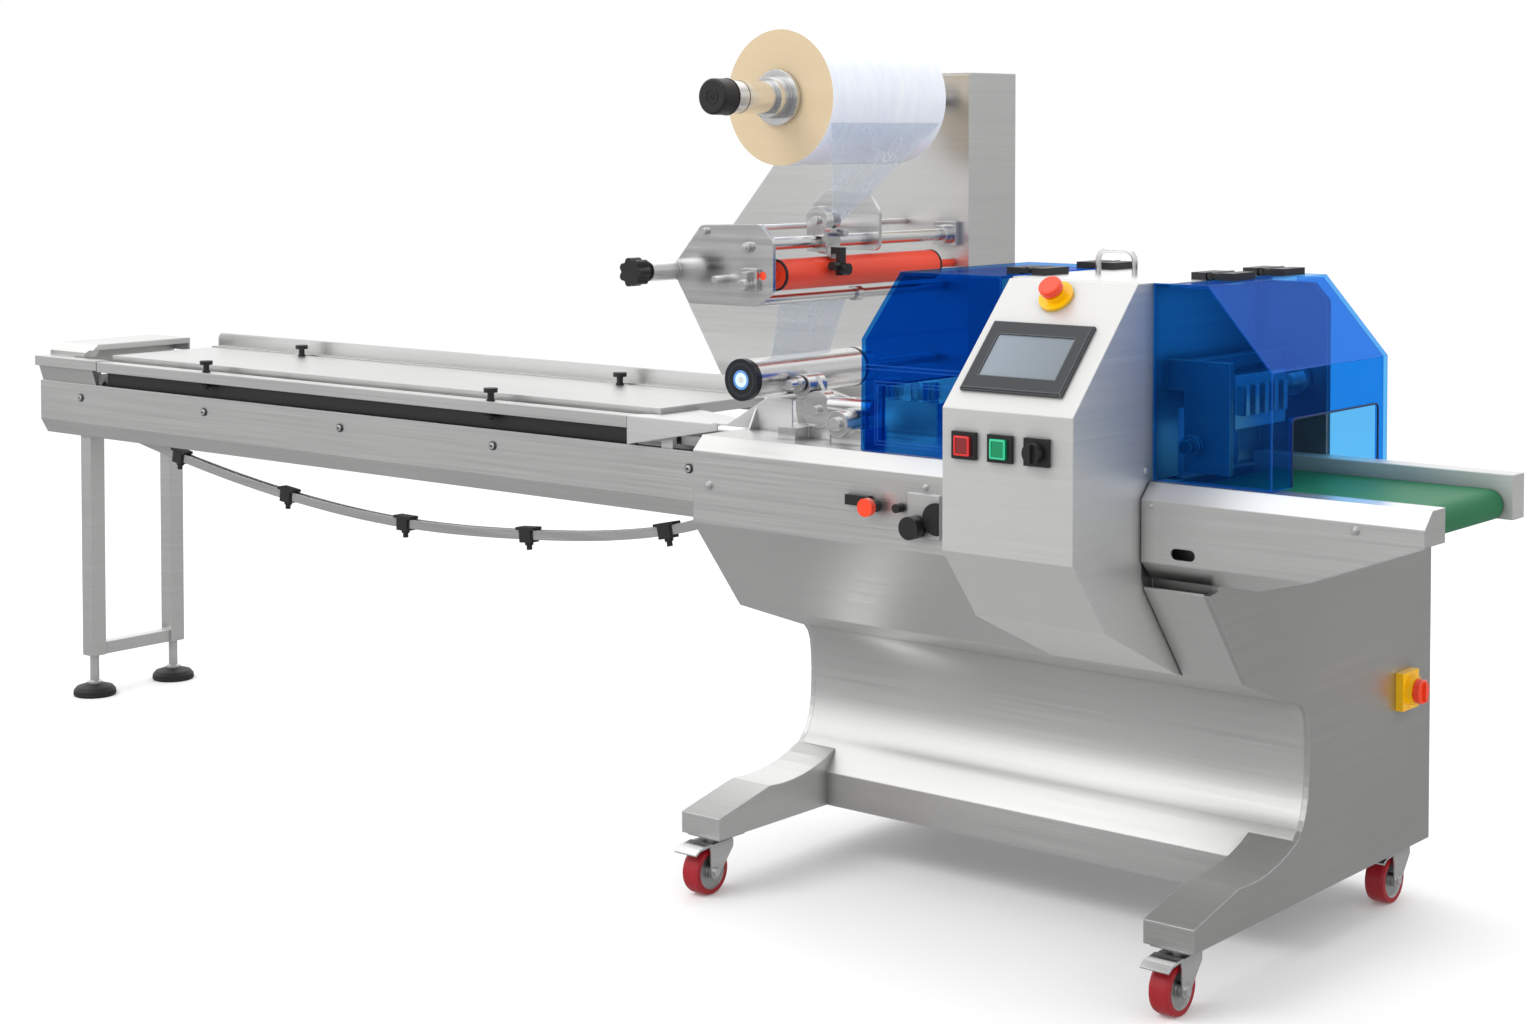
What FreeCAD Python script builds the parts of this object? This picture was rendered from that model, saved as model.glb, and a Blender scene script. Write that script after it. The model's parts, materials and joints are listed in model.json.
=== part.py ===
import FreeCAD, Part
import math
import os

os.makedirs("parts", exist_ok=True)

# ---- overall layout (millimetres, X along the flow, Y to the back, Z up) ----
MACHINE_HALF_LENGTH = 1898.0
CENTRE_SHIFT_Y = 15.0
FLOOR_Z = 10.0
BACK_Y = 508.0
FLOW_Y = -90.0
TABLE_Z = 850.0
SHEET = 4.0

# ---- body ----
BODY_LEFT = 454.0
BODY_RIGHT = 1532.0
PLATE_T = 10.0
CORE_LEFT = BODY_LEFT + PLATE_T
CORE_RIGHT = BODY_RIGHT - PLATE_T
REAR_TOP_Z = 780.0
TABLE_BACK_Y = 125.0
FASCIA_Y = -310.0
FASCIA_TOP_Y = -283.0
FASCIA_CHAMFER_Z = 824.0
FASCIA_LOW_Z = 690.0
BELLY_Y = -176.0
BELLY_Z = 516.0
WAIST_Y = -2.0
WAIST_Z = 455.0
UNDERSIDE_Z = 118.0
BEAM_TOP_Z = 182.0
BEAM_FRONT_Y = -26.0
BEAM_BACK_Y = 54.0
ARM_W = 92.0
ARM_FRONT_Y = -342.0
ARM_FRONT_Z = 157.0
ARM_BEND_Y = -197.0
ARM_BEND_Z = 190.0

# ---- console ----
CONSOLE_W = 247.0
CONSOLE_RIGHT = BODY_RIGHT - 122.0
CONSOLE_LEFT = CONSOLE_RIGHT - CONSOLE_W
CONSOLE_FRONT_Y = -508.0
CONSOLE_TOP_Z = TABLE_Z + 320.0
CONSOLE_TOP_Y = -318.0
CONSOLE_FOLD_Z = 972.0
CONSOLE_BACK_Y = -270.0
BUTTON_PLATE = 46.0
BUTTON_Z = 914.0
BUTTON_PITCH = 69.0
START_X = CONSOLE_RIGHT - 133.0
BUTTON_XS = {"stop": START_X - BUTTON_PITCH, "start": START_X, "speed": START_X + BUTTON_PITCH}
HMI_W = 193.0
HMI_H = 143.0
SCREEN_W = 147.0
SCREEN_H = 86.0

# ---- guards ----
GUARD_T = 5.0
GUARD_FRONT_Y = -275.0
GUARD_LEFT_X = CONSOLE_LEFT - 345.0
GUARD_RIGHT_X = BODY_RIGHT + 95.0
GUARD_TOP_Z = CONSOLE_TOP_Z
HINGE_Z = GUARD_TOP_Z + 7.0
HINGE_LEFT_X = CONSOLE_LEFT - 33.0
HINGE_RIGHT_X = CONSOLE_RIGHT + 35.0
PIN_R = 3.0
RUNNING_FIT = 0.05

# ---- discharge conveyor ----
BELT_TOP_Z = 843.0
BELT_W = 250.0
BELT_Y0 = FLOW_Y - 127.0
BELT_R = 25.0
BELT_T = 2.0
BELT_HEAD_X = MACHINE_HALF_LENGTH - 51.0
BELT_TAIL_X = BODY_RIGHT - 62.0
RAIL_END_X = MACHINE_HALF_LENGTH - 11.0

# ---- infeed conveyor ----
INFEED_LEFT = -MACHINE_HALF_LENGTH
INFEED_PANEL_Y = -120.0
INFEED_BACK_Y = 184.0
DECK_TOP_Z = 848.0
DECK_T = 2.5
DECK_FRONT_Y = -136.0
DECK_BACK_Y = 248.0
REAR_DECK_RISE = 12.0
REAR_DECK_Z = DECK_TOP_Z + REAR_DECK_RISE
SLOT_W = 24.0
DECK_START_X = INFEED_LEFT + 242.0
DECK_FRONT_END_X = 124.0
DECK_REAR_END_X = 162.0
POST = 40.0
LEG_X = INFEED_LEFT + 169.0

# ---- film station ----
PLATE_FRONT_Y = -262.0
REAR_PLATE_Y = 333.0
COLUMN_TOP_Z = 1530.0
COLUMN_X0 = BODY_LEFT + 8.0
COLUMN_X1 = BODY_LEFT + 168.0
REEL_X = BODY_LEFT + 98.0
REEL_Z = COLUMN_TOP_Z - 54.0
REEL_R = 126.5
REEL_SHAFT_R = 30.0
REEL_Y0 = -177.0
REEL_Y1 = 175.0
ROD_X = REEL_X + 20.0
ROD_Z = REEL_Z - 270.0
RED_X = ROD_X + 10.0
RED_Z = ROD_Z - 57.0
RED_R = 29.0
DRAW_X = REEL_X - 10.0
DRAW_Z = TABLE_Z + 107.0
DRAW_R = 37.5

# ---- casters ----
WHEEL_R = 44.0
WHEEL_W = 36.0
AXLE_R = 5.0
CASTER_TRAIL = 32.0
CASTER_XS = (BODY_LEFT + 46.0, BODY_RIGHT - 46.0)
CASTER_FRONT_Y = -298.0
CASTER_BACK_Y = 455.0


def vec(x, y, z):
    return FreeCAD.Vector(x, y, z)


def box(x0, x1, y0, y1, z0, z1):
    return Part.makeBox(x1 - x0, y1 - y0, z1 - z0, vec(x0, y0, z0))


def cyl_x(r, x0, x1, y, z):
    return Part.makeCylinder(r, x1 - x0, vec(x0, y, z), vec(1, 0, 0))


def cyl_y(r, y0, y1, x, z):
    return Part.makeCylinder(r, y1 - y0, vec(x, y0, z), vec(0, 1, 0))


def cyl_z(r, z0, z1, x, y):
    return Part.makeCylinder(r, z1 - z0, vec(x, y, z0), vec(0, 0, 1))


def face_of(points):
    return Part.Face(Part.makePolygon(points + [points[0]]))


def prism_x(yz, x0, x1):
    return face_of([vec(x0, y, z) for y, z in yz]).extrude(vec(x1 - x0, 0, 0))


def prism_y(xz, y0, y1):
    return face_of([vec(x, y0, z) for x, z in xz]).extrude(vec(0, y1 - y0, 0))


def prism_z(xy, z0, z1):
    return face_of([vec(x, y, z0) for x, y in xy]).extrude(vec(0, 0, z1 - z0))


def fuse(shapes):
    shapes = list(shapes)
    if len(shapes) == 1:
        return shapes[0]
    return shapes[0].multiFuse(shapes[1:]).removeSplitter()


def cut(shape, tools):
    return shape.cut(fuse(tools) if len(tools) > 1 else tools[0])


def save(name, shape):
    """Move the shape so the floor is at zero and the origin sits under the middle, then write it."""
    shape = shape.copy()
    shape.translate(vec(0, CENTRE_SHIFT_Y, -FLOOR_Z))
    solids = shape.Solids
    result = solids[0] if len(solids) == 1 else Part.makeCompound(solids)
    result.exportStep("parts/" + name + ".step")


def offset_open(points, t):
    """Mitred offset of an open polyline, to the left of its direction."""
    normals = []
    for a, b in zip(points[:-1], points[1:]):
        dy = b[0] - a[0]
        dz = b[1] - a[1]
        n = math.hypot(dy, dz)
        normals.append((-dz / n, dy / n))
    result = []
    for i, p in enumerate(points):
        if i == 0:
            m = normals[0]
        elif i == len(points) - 1:
            m = normals[-1]
        else:
            a = normals[i - 1]
            b = normals[i]
            k = 1.0 + a[0] * b[0] + a[1] * b[1]
            m = ((a[0] + b[0]) / k, (a[1] + b[1]) / k)
        result.append((p[0] + m[0] * t, p[1] + m[1] * t))
    return result


def sheet_profile(outer, t, first=0, last=None):
    inner = offset_open(outer, t)
    last = len(outer) - 1 if last is None else last
    return outer[first:last + 1] + inner[first:last + 1][::-1]


def spline_points(points, n):
    """Points along a smooth curve through the given ones."""
    curve = Part.BSplineCurve()
    curve.interpolate([vec(0, y, z) for y, z in points])
    a = curve.FirstParameter
    b = curve.LastParameter
    out = []
    for i in range(n + 1):
        p = curve.value(a + (b - a) * i / n)
        out.append((p.y, p.z))
    return out


def bolt_y(x, y, z, r=7.0, h=4.0):
    """Pan head on a face that looks to -Y."""
    return cyl_y(r, y - h, y, x, z).fuse(cyl_y(r * 0.55, y - h - 2.0, y - h, x, z))


# ================= body =================
skin = [(-200.0, TABLE_Z), (FASCIA_TOP_Y, TABLE_Z), (FASCIA_Y, FASCIA_CHAMFER_Z),
        (FASCIA_Y, FASCIA_LOW_Z), (BELLY_Y, BELLY_Z), (WAIST_Y, WAIST_Z)]
skin_in = offset_open(skin, SHEET)
waist = spline_points([(WAIST_Y, WAIST_Z), (26.0, 440.0), (38.0, 398.0), (40.0, 335.0),
                       (31.0, 268.0), (0.0, 222.0)], 14)
arm_top = spline_points([(0.0, 222.0), (-60.0, 200.0), (ARM_BEND_Y, ARM_BEND_Z)], 6)
arm_line = arm_top[1:] + [(ARM_FRONT_Y, ARM_FRONT_Z), (ARM_FRONT_Y, UNDERSIDE_Z)]
cover_top = (-302.0, 679.5)

core_front = skin_in + waist
core_low = [(BEAM_FRONT_Y, BEAM_TOP_Z), (BEAM_BACK_Y, BEAM_TOP_Z), (BEAM_BACK_Y, UNDERSIDE_Z),
            (BACK_Y, UNDERSIDE_Z)]
core_main = prism_x(core_front + core_low + [(BACK_Y, REAR_TOP_Z), (TABLE_BACK_Y, REAR_TOP_Z),
                                             (TABLE_BACK_Y, TABLE_Z - SHEET)], CORE_LEFT, CONSOLE_RIGHT)
CORE_STEP_X = CONSOLE_RIGHT + 15.0
right_front = [(-270.0, REAR_TOP_Z), (-270.0, 645.0)]
core_right = prism_x(right_front + skin_in[4:] + waist + core_low + [(BACK_Y, REAR_TOP_Z)],
                     CONSOLE_RIGHT, CORE_RIGHT)
core_table = box(CONSOLE_RIGHT, CORE_STEP_X, -270.0, TABLE_BACK_Y, REAR_TOP_Z, TABLE_Z - SHEET)
foot_beam = box(CORE_LEFT, CORE_RIGHT, BEAM_FRONT_Y, BEAM_BACK_Y, UNDERSIDE_Z, BEAM_TOP_Z)
save("body_core", fuse([core_main, core_right, core_table, foot_beam]))


def caster_mount(x, y):
    """Bolted plate and swivel stem on the underside of the body."""
    plate = box(x - 38.0, x + 38.0, y - 36.0, y + 36.0, UNDERSIDE_Z - 5.0, UNDERSIDE_Z)
    stem = cyl_z(10.0, UNDERSIDE_Z - 16.0, UNDERSIDE_Z - 5.0, x, y)
    return plate.fuse(stem)


arm_block = [(0.0, 222.0)] + arm_line + [(BEAM_FRONT_Y, UNDERSIDE_Z), (BEAM_FRONT_Y, BEAM_TOP_Z)]
left_plate = prism_x(skin_in + waist + arm_line + [(BACK_Y, UNDERSIDE_Z), (BACK_Y, REAR_TOP_Z),
                     (TABLE_BACK_Y, REAR_TOP_Z), (TABLE_BACK_Y, TABLE_Z - SHEET)],
                     BODY_LEFT, CORE_LEFT)
left_arm = prism_x(arm_block, CORE_LEFT, BODY_LEFT + ARM_W)
left_mounts = [caster_mount(CASTER_XS[0], y) for y in (CASTER_FRONT_Y, CASTER_BACK_Y)]
save("end_plate_left", fuse([left_plate, left_arm] + left_mounts))

right_plate = prism_x(right_front[:1] + [(-270.0, 684.0), cover_top] + skin[4:] + waist[1:] + arm_line
                      + [(BACK_Y, UNDERSIDE_Z), (BACK_Y, REAR_TOP_Z)], CORE_RIGHT, BODY_RIGHT)
right_arm = prism_x(arm_block, BODY_RIGHT - ARM_W, CORE_RIGHT)
right_mounts = [caster_mount(CASTER_XS[1], y) for y in (CASTER_FRONT_Y, CASTER_BACK_Y)]
save("end_plate_right", fuse([right_plate, right_arm] + right_mounts))

belly_pan = prism_x(sheet_profile(skin, SHEET, 4, 5), BODY_LEFT, CORE_RIGHT)

FASCIA_SPLIT_X = CONSOLE_LEFT - 3.0
fascia = prism_x(sheet_profile(skin, SHEET, 0, 4), BODY_LEFT, FASCIA_SPLIT_X)
CONTROL_X = CONSOLE_LEFT - 213.0
CONTROL_W = 68.0
CONTROL_Z = 716.0
CONTROL_H = 76.0
control_plate = box(CONTROL_X, CONTROL_X + CONTROL_W, FASCIA_Y - 6.0, FASCIA_Y, CONTROL_Z,
                    CONTROL_Z + CONTROL_H)
fascia_bolts = [bolt_y(BODY_LEFT + 39.0, FASCIA_Y, 762.0), bolt_y(CONTROL_X + 35.0, FASCIA_Y, 803.0, 5.5, 3.0)]
save("fascia_left", fuse([fascia, control_plate] + fascia_bolts))

table = box(BODY_LEFT, CORE_STEP_X, -200.0, TABLE_BACK_Y, TABLE_Z - SHEET, TABLE_Z)
fold_slot = box(560.0, 800.0, FLOW_Y - 6.0, FLOW_Y + 6.0, TABLE_Z - SHEET, TABLE_Z)
save("table_top", table.cut(fold_slot))

# right fascia, a long folded cover that tapers up to the discharge end
R_LEFT = CONSOLE_RIGHT + 3.0
R_RIGHT = MACHINE_HALF_LENGTH
R_FOLD_Z = 724.0
R_LIP_Z = 694.0
right_skin = [(-240.0, TABLE_Z), (FASCIA_TOP_Y, TABLE_Z), (FASCIA_Y, FASCIA_CHAMFER_Z),
              (FASCIA_Y, R_FOLD_Z), (-282.0, R_LIP_Z)]
right_fascia = prism_x(sheet_profile(right_skin, SHEET), R_LEFT, R_RIGHT)
TAPER_X = BODY_RIGHT + 76.0
taper = prism_y([(TAPER_X, R_LIP_Z - 10.0), (TAPER_X, R_LIP_Z), (R_RIGHT - 185.0, R_FOLD_Z), (R_RIGHT, 795.0),
                 (R_RIGHT + 5.0, 795.0), (R_RIGHT + 5.0, R_LIP_Z - 10.0)], -330.0, -200.0)
end_cap = prism_x([(-240.0, TABLE_Z - SHEET), (-281.3, TABLE_Z - SHEET), (-306.0, 822.2), (-306.0, 797.0),
                   (-240.0, 797.0)], R_RIGHT - SHEET, R_RIGHT)
HAND_SLOT_X = CONSOLE_RIGHT + 66.0
HAND_SLOT_L = 26.0
HAND_SLOT_R = 9.0
HAND_SLOT_Z = 742.0
slot_a = cyl_y(HAND_SLOT_R, -330.0, -300.0, HAND_SLOT_X, HAND_SLOT_Z)
slot_b = cyl_y(HAND_SLOT_R, -330.0, -300.0, HAND_SLOT_X + HAND_SLOT_L, HAND_SLOT_Z)
slot_c = box(HAND_SLOT_X, HAND_SLOT_X + HAND_SLOT_L, -330.0, -300.0, HAND_SLOT_Z - HAND_SLOT_R,
             HAND_SLOT_Z + HAND_SLOT_R)
right_fascia = cut(right_fascia, [taper, fuse([slot_a, slot_b, slot_c])])
right_fascia = fuse([right_fascia, end_cap, bolt_y(R_RIGHT - 112.0, FASCIA_Y, 812.0, 6.0, 3.0),
                     bolt_y(R_LEFT + 18.0, FASCIA_Y, 815.0, 3.5, 2.0)])
save("fascia_right", right_fascia)

cover = [cover_top, (BELLY_Y, BELLY_Z)]
cover_in = offset_open(cover, SHEET)
lower_cover = prism_x(cover + [skin_in[4], cover_in[0]], R_LEFT, CORE_RIGHT)
save("lower_covers", fuse([belly_pan, lower_cover]))

# ================= console =================
console_profile = [(CONSOLE_TOP_Y, CONSOLE_TOP_Z), (CONSOLE_FRONT_Y, CONSOLE_FOLD_Z),
                   (CONSOLE_FRONT_Y, 741.0), (-412.0, 620.0), (-192.0, 520.0),
                   (BELLY_Y, BELLY_Z)] + skin_in[2:5][::-1]
console_profile += [(skin_in[1][0], skin_in[1][1]), (CONSOLE_BACK_Y, TABLE_Z - SHEET),
                    (CONSOLE_BACK_Y, CONSOLE_TOP_Z)]
console = prism_x(console_profile, CONSOLE_LEFT, CONSOLE_RIGHT)
save("console_housing", console.fuse(cyl_x(5.0, CONSOLE_RIGHT, CONSOLE_RIGHT + 2.5, -292.0, 868.0)))

SLOPE_DY = CONSOLE_TOP_Y - CONSOLE_FRONT_Y
SLOPE_DZ = CONSOLE_TOP_Z - CONSOLE_FOLD_Z
SLOPE_ANGLE = math.degrees(math.atan2(SLOPE_DZ, SLOPE_DY))


def on_slope(shape):
    """Place a shape drawn on a level sheet (origin at the fold line) on the sloping face."""
    turned = shape.copy()
    turned.rotate(vec(0, 0, 0), vec(1, 0, 0), SLOPE_ANGLE)
    turned.translate(vec(0, CONSOLE_FRONT_Y, CONSOLE_FOLD_Z))
    return turned


HMI_X = START_X
HMI_S = 107.6
bezel = box(HMI_X - HMI_W / 2, HMI_X + HMI_W / 2, HMI_S - HMI_H / 2, HMI_S + HMI_H / 2, 0.0, 8.0)
bezel = bezel.makeChamfer(3.0, [e for e in bezel.Edges if e.BoundBox.ZMin > 7.9])
window = box(HMI_X - SCREEN_W / 2, HMI_X + SCREEN_W / 2, HMI_S - SCREEN_H / 2, HMI_S + SCREEN_H / 2,
             4.0, 8.0)
save("hmi_bezel", on_slope(bezel.cut(window)))
screen = box(HMI_X - SCREEN_W / 2, HMI_X + SCREEN_W / 2, HMI_S - SCREEN_H / 2, HMI_S + SCREEN_H / 2,
             4.0, 5.5)
save("hmi_screen", on_slope(screen))

ESTOP_X = START_X - 5.0
ESTOP_S = 238.3
ESTOP_R = 20.0
STEM_R = 10.0
collar = cyl_z(30.0, 0.0, 6.0, ESTOP_X, ESTOP_S).fuse(cyl_z(17.0, 6.0, 14.0, ESTOP_X, ESTOP_S))
collar = collar.cut(cyl_z(STEM_R + RUNNING_FIT, -1.0, 15.0, ESTOP_X, ESTOP_S))
save("estop_collar", on_slope(collar))
cap = cyl_z(ESTOP_R, 21.0, 33.0, ESTOP_X, ESTOP_S)
cap = cap.makeFillet(4.0, [e for e in cap.Edges if e.BoundBox.ZMin > 32.9])
save("estop_button", on_slope(cap.fuse(cyl_z(STEM_R, 8.0, 21.0, ESTOP_X, ESTOP_S))))

plates = []
for name, x in BUTTON_XS.items():
    plate = box(x - BUTTON_PLATE / 2, x + BUTTON_PLATE / 2, CONSOLE_FRONT_Y - 7.0, CONSOLE_FRONT_Y,
                BUTTON_Z - 22.0, BUTTON_Z + 22.0)
    if name == "speed":
        plate = plate.cut(cyl_y(7.0 + RUNNING_FIT, -520.0, -500.0, x, BUTTON_Z))
    else:
        plate = plate.cut(box(x - 15.0 - RUNNING_FIT, x + 15.0 + RUNNING_FIT, -520.0, -500.0,
                              BUTTON_Z - 16.0 - RUNNING_FIT, BUTTON_Z + 16.0 + RUNNING_FIT))
    plates.append(plate)
save("control_bezels", Part.makeCompound(plates))
for name in ("stop", "start"):
    x = BUTTON_XS[name]
    lens = box(x - 15.0, x + 15.0, CONSOLE_FRONT_Y - 12.0, CONSOLE_FRONT_Y - 4.0, BUTTON_Z - 16.0,
               BUTTON_Z + 16.0)
    save(name + "_button", lens)
x = BUTTON_XS["speed"]
knob = cyl_y(16.0, -531.0, -518.0, x, BUTTON_Z).fuse(cyl_y(7.0, -518.0, -509.0, x, BUTTON_Z))
knob = knob.fuse(box(x - 3.5, x + 3.5, -538.0, -531.0, BUTTON_Z - 15.0, BUTTON_Z + 15.0))
save("speed_knob", knob)

# fascia controls beside the console
LEVER_X = CONTROL_X - 131.0
RED_KNOB_X = CONTROL_X - 71.0
slot_lever = box(LEVER_X, LEVER_X + 49.0, FASCIA_Y - 12.0, FASCIA_Y, 760.0, 778.0)
slot_lever = slot_lever.fuse(cyl_y(11.0, FASCIA_Y - 22.0, FASCIA_Y, RED_KNOB_X, 762.0))
red_cap = cyl_y(16.0, FASCIA_Y - 34.0, FASCIA_Y - 22.0, RED_KNOB_X, 762.0)
small_knob = cyl_y(8.0, FASCIA_Y - 18.0, FASCIA_Y, CONTROL_X - 16.0, 764.0)
big_knob = cyl_y(20.0, FASCIA_Y - 32.0, FASCIA_Y - 12.0, CONTROL_X + 21.0, 735.0)
big_knob = big_knob.fuse(cyl_y(10.0, FASCIA_Y - 12.0, FASCIA_Y - 6.0, CONTROL_X + 21.0, 735.0))
dial = cyl_y(28.0, FASCIA_Y - 11.0, FASCIA_Y - 6.0, CONTROL_X + 64.0, 752.0).common(
    box(CONTROL_X, CONTROL_X + CONTROL_W, FASCIA_Y - 20.0, FASCIA_Y, 700.0, 800.0))
save("fascia_knobs", fuse([slot_lever, small_knob, big_knob, dial]))
save("fascia_red_knob", red_cap)

# ================= bridge, guards and hinges =================
BRIDGE_BACK_Y = TABLE_BACK_Y
BRIDGE_T = 6.0
BRIDGE_LOW_Z = GUARD_TOP_Z - BRIDGE_T
BRIDGE_CLEAR = 1.0
bridge_top = box(HINGE_LEFT_X + 6.0, HINGE_RIGHT_X - 6.0, GUARD_FRONT_Y + GUARD_T + BRIDGE_CLEAR, BRIDGE_BACK_Y,
                 BRIDGE_LOW_Z, GUARD_TOP_Z)
bridge_side_l = box(CONSOLE_LEFT, CONSOLE_LEFT + BRIDGE_T, CONSOLE_BACK_Y, BRIDGE_BACK_Y, TABLE_Z, BRIDGE_LOW_Z)
bridge_side_r = box(CONSOLE_RIGHT - BRIDGE_T, CONSOLE_RIGHT, CONSOLE_BACK_Y, BRIDGE_BACK_Y, TABLE_Z, BRIDGE_LOW_Z)
bridge_back = box(CONSOLE_LEFT + BRIDGE_T, CONSOLE_RIGHT - BRIDGE_T, BRIDGE_BACK_Y - BRIDGE_T, BRIDGE_BACK_Y,
                  TABLE_Z, BRIDGE_LOW_Z)
tunnel_hole = box(CONSOLE_LEFT - 10.0, CONSOLE_RIGHT + 10.0, FLOW_Y - 100.0, FLOW_Y + 100.0, TABLE_Z,
                  TABLE_Z + 110.0)
bridge = fuse([bridge_top, bridge_side_l, bridge_side_r, bridge_back]).cut(tunnel_hole)

TUNNEL_Y0 = FLOW_Y - 120.0
TUNNEL_Y1 = FLOW_Y + 180.0
TUNNEL_TOP = TABLE_Z + 110.0


def guard_shell(profile, x_cut0, x_cut1):
    """Clear cover: an XZ profile hollowed to a sheet, open below and towards the hinge side."""
    outer = prism_y(profile, GUARD_FRONT_Y, TABLE_BACK_Y)
    inner = prism_y(offset_closed(profile, GUARD_T), GUARD_FRONT_Y + GUARD_T, TABLE_BACK_Y - GUARD_T)
    opening = box(x_cut0, x_cut1, TUNNEL_Y0, TUNNEL_Y1, TABLE_Z - 10.0, TUNNEL_TOP)
    return cut(outer, [inner, opening])


def offset_closed(profile, t):
    """Shrink the upper outline by t and let the lower and hinge sides run past the cover."""
    first = profile[0]
    last = profile[-1]
    core = offset_open(profile[:-1], -t if first[0] < last[0] else t)
    side = 60.0 if first[0] < last[0] else -60.0
    run = [(core[0][0], first[1] - 30.0)] + core[1:-1]
    return run + [(last[0] + side, core[-1][1]), (last[0] + side, first[1] - 30.0)]


GUARD_EDGE_GAP = 15.0
left_x1 = HINGE_LEFT_X - GUARD_EDGE_GAP
left_profile = [(GUARD_LEFT_X, TABLE_Z + 1.0), (GUARD_LEFT_X + 2.0, 1048.0), (GUARD_LEFT_X + 87.0, GUARD_TOP_Z),
                (left_x1, GUARD_TOP_Z), (left_x1, TABLE_Z + 1.0)]
right_x0 = HINGE_RIGHT_X + GUARD_EDGE_GAP
right_profile = [(GUARD_RIGHT_X, TABLE_Z + 1.0), (GUARD_RIGHT_X, 1038.0), (GUARD_RIGHT_X - 114.0, GUARD_TOP_Z),
                 (right_x0, GUARD_TOP_Z), (right_x0, TABLE_Z + 1.0)]
KNUCKLE_L = 18.0
HINGE_L = 74.0


def hinge_leaf(axis_x, side, y):
    """Two knuckles and a flat leaf that belong to the cover; side is -1 for the left cover."""
    parts = []
    for y0 in (y - HINGE_L / 2, y + HINGE_L / 2 - KNUCKLE_L):
        ring = cyl_y(6.0, y0, y0 + KNUCKLE_L, axis_x, HINGE_Z)
        xs = sorted((axis_x, axis_x + side * 18.0))
        parts.append(ring.fuse(box(xs[0], xs[1], y0, y0 + KNUCKLE_L, HINGE_Z - 4.0, HINGE_Z + 4.0)))
    xs = sorted((axis_x + side * 15.0, axis_x + side * 42.0))
    parts.append(box(xs[0], xs[1], y - HINGE_L / 2, y + HINGE_L / 2, GUARD_TOP_Z, HINGE_Z + 5.0))
    leaf = fuse(parts)
    return leaf.cut(cyl_y(PIN_R + RUNNING_FIT, y - 60.0, y + 60.0, axis_x, HINGE_Z))


def hinge_base(axis_x, side, y):
    """Middle knuckle, pin and black block on the bridge; side is +1 when the block is to +X."""
    mid = HINGE_L / 2 - KNUCKLE_L - 0.3
    barrel = cyl_y(6.0, y - mid, y + mid, axis_x, HINGE_Z)
    web = box(min(axis_x, axis_x + side * 12.0), max(axis_x, axis_x + side * 12.0), y - mid, y + mid,
              HINGE_Z - 4.0, HINGE_Z + 4.0)
    xs = sorted((axis_x + side * 9.0, axis_x + side * 36.0))
    block = box(xs[0], xs[1], y - HINGE_L / 2, y + HINGE_L / 2, GUARD_TOP_Z, HINGE_Z + 5.0)
    pin = cyl_y(PIN_R, y - HINGE_L / 2 - 2.0, y + HINGE_L / 2 + 2.0, axis_x, HINGE_Z)
    return fuse([barrel, web, block, pin])


LEFT_HINGE_YS = (-180.0, 40.0)
RIGHT_HINGE_YS = (-113.0, 60.0)
left_leaves = [hinge_leaf(HINGE_LEFT_X, -1.0, y) for y in LEFT_HINGE_YS]
right_leaves = [hinge_leaf(HINGE_RIGHT_X, 1.0, y) for y in RIGHT_HINGE_YS]
# the front of the right cover runs on past its hinges to the side of the console
front_strip_right = box(CONSOLE_RIGHT + 3.0, right_x0, GUARD_FRONT_Y, GUARD_FRONT_Y + GUARD_T, TABLE_Z + 1.0,
                        GUARD_TOP_Z)
# joint strip and door rim on the front of the left cover
DOOR_Y0 = GUARD_FRONT_Y - 2.0
DOOR_X0 = GUARD_LEFT_X + 32.0
DOOR_X1 = GUARD_LEFT_X + 240.0
joint_strip = box(GUARD_LEFT_X + 4.0, left_x1 - 2.0, DOOR_Y0, GUARD_FRONT_Y, 996.0, 1003.0)
door_rim = box(DOOR_X0, DOOR_X1, DOOR_Y0, GUARD_FRONT_Y, 864.0, 975.0)
door_rim = door_rim.cut(box(DOOR_X0 + 6.0, DOOR_X1 - 6.0, DOOR_Y0 - 1.0, GUARD_FRONT_Y, 870.0, 969.0))
left_shell = guard_shell(left_profile, GUARD_LEFT_X - 38.0, GUARD_LEFT_X + 42.0)
right_shell = guard_shell(right_profile, GUARD_RIGHT_X - 37.0, GUARD_RIGHT_X + 33.0)
save("guard_left", fuse([left_shell, joint_strip, door_rim] + left_leaves))
save("guard_right", fuse([right_shell, front_strip_right] + right_leaves))
bases = [hinge_base(HINGE_LEFT_X, 1.0, y) for y in LEFT_HINGE_YS]
bases += [hinge_base(HINGE_RIGHT_X, -1.0, y) for y in RIGHT_HINGE_YS]


def tube_path(points, r, bend):
    """Round bar through points with rounded corners."""
    edges = []
    start = points[0]
    for i in range(1, len(points) - 1):
        a, b, c = points[i - 1], points[i], points[i + 1]
        d0 = (a - b).normalize()
        d1 = (c - b).normalize()
        p0 = b + d0 * bend
        p1 = b + d1 * bend
        mid = b + (d0 + d1) * (bend * (1.0 - math.sqrt(0.5)))
        edges.append(Part.makeLine(start, p0))
        edges.append(Part.Arc(p0, mid, p1).toShape())
        start = p1
    edges.append(Part.makeLine(start, points[-1]))
    wire = Part.Wire(edges)
    axis = (points[1] - points[0]).normalize()
    ring = Part.Wire([Part.makeCircle(r, points[0], axis)])
    return wire.makePipeShell([ring], True, False)


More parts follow.
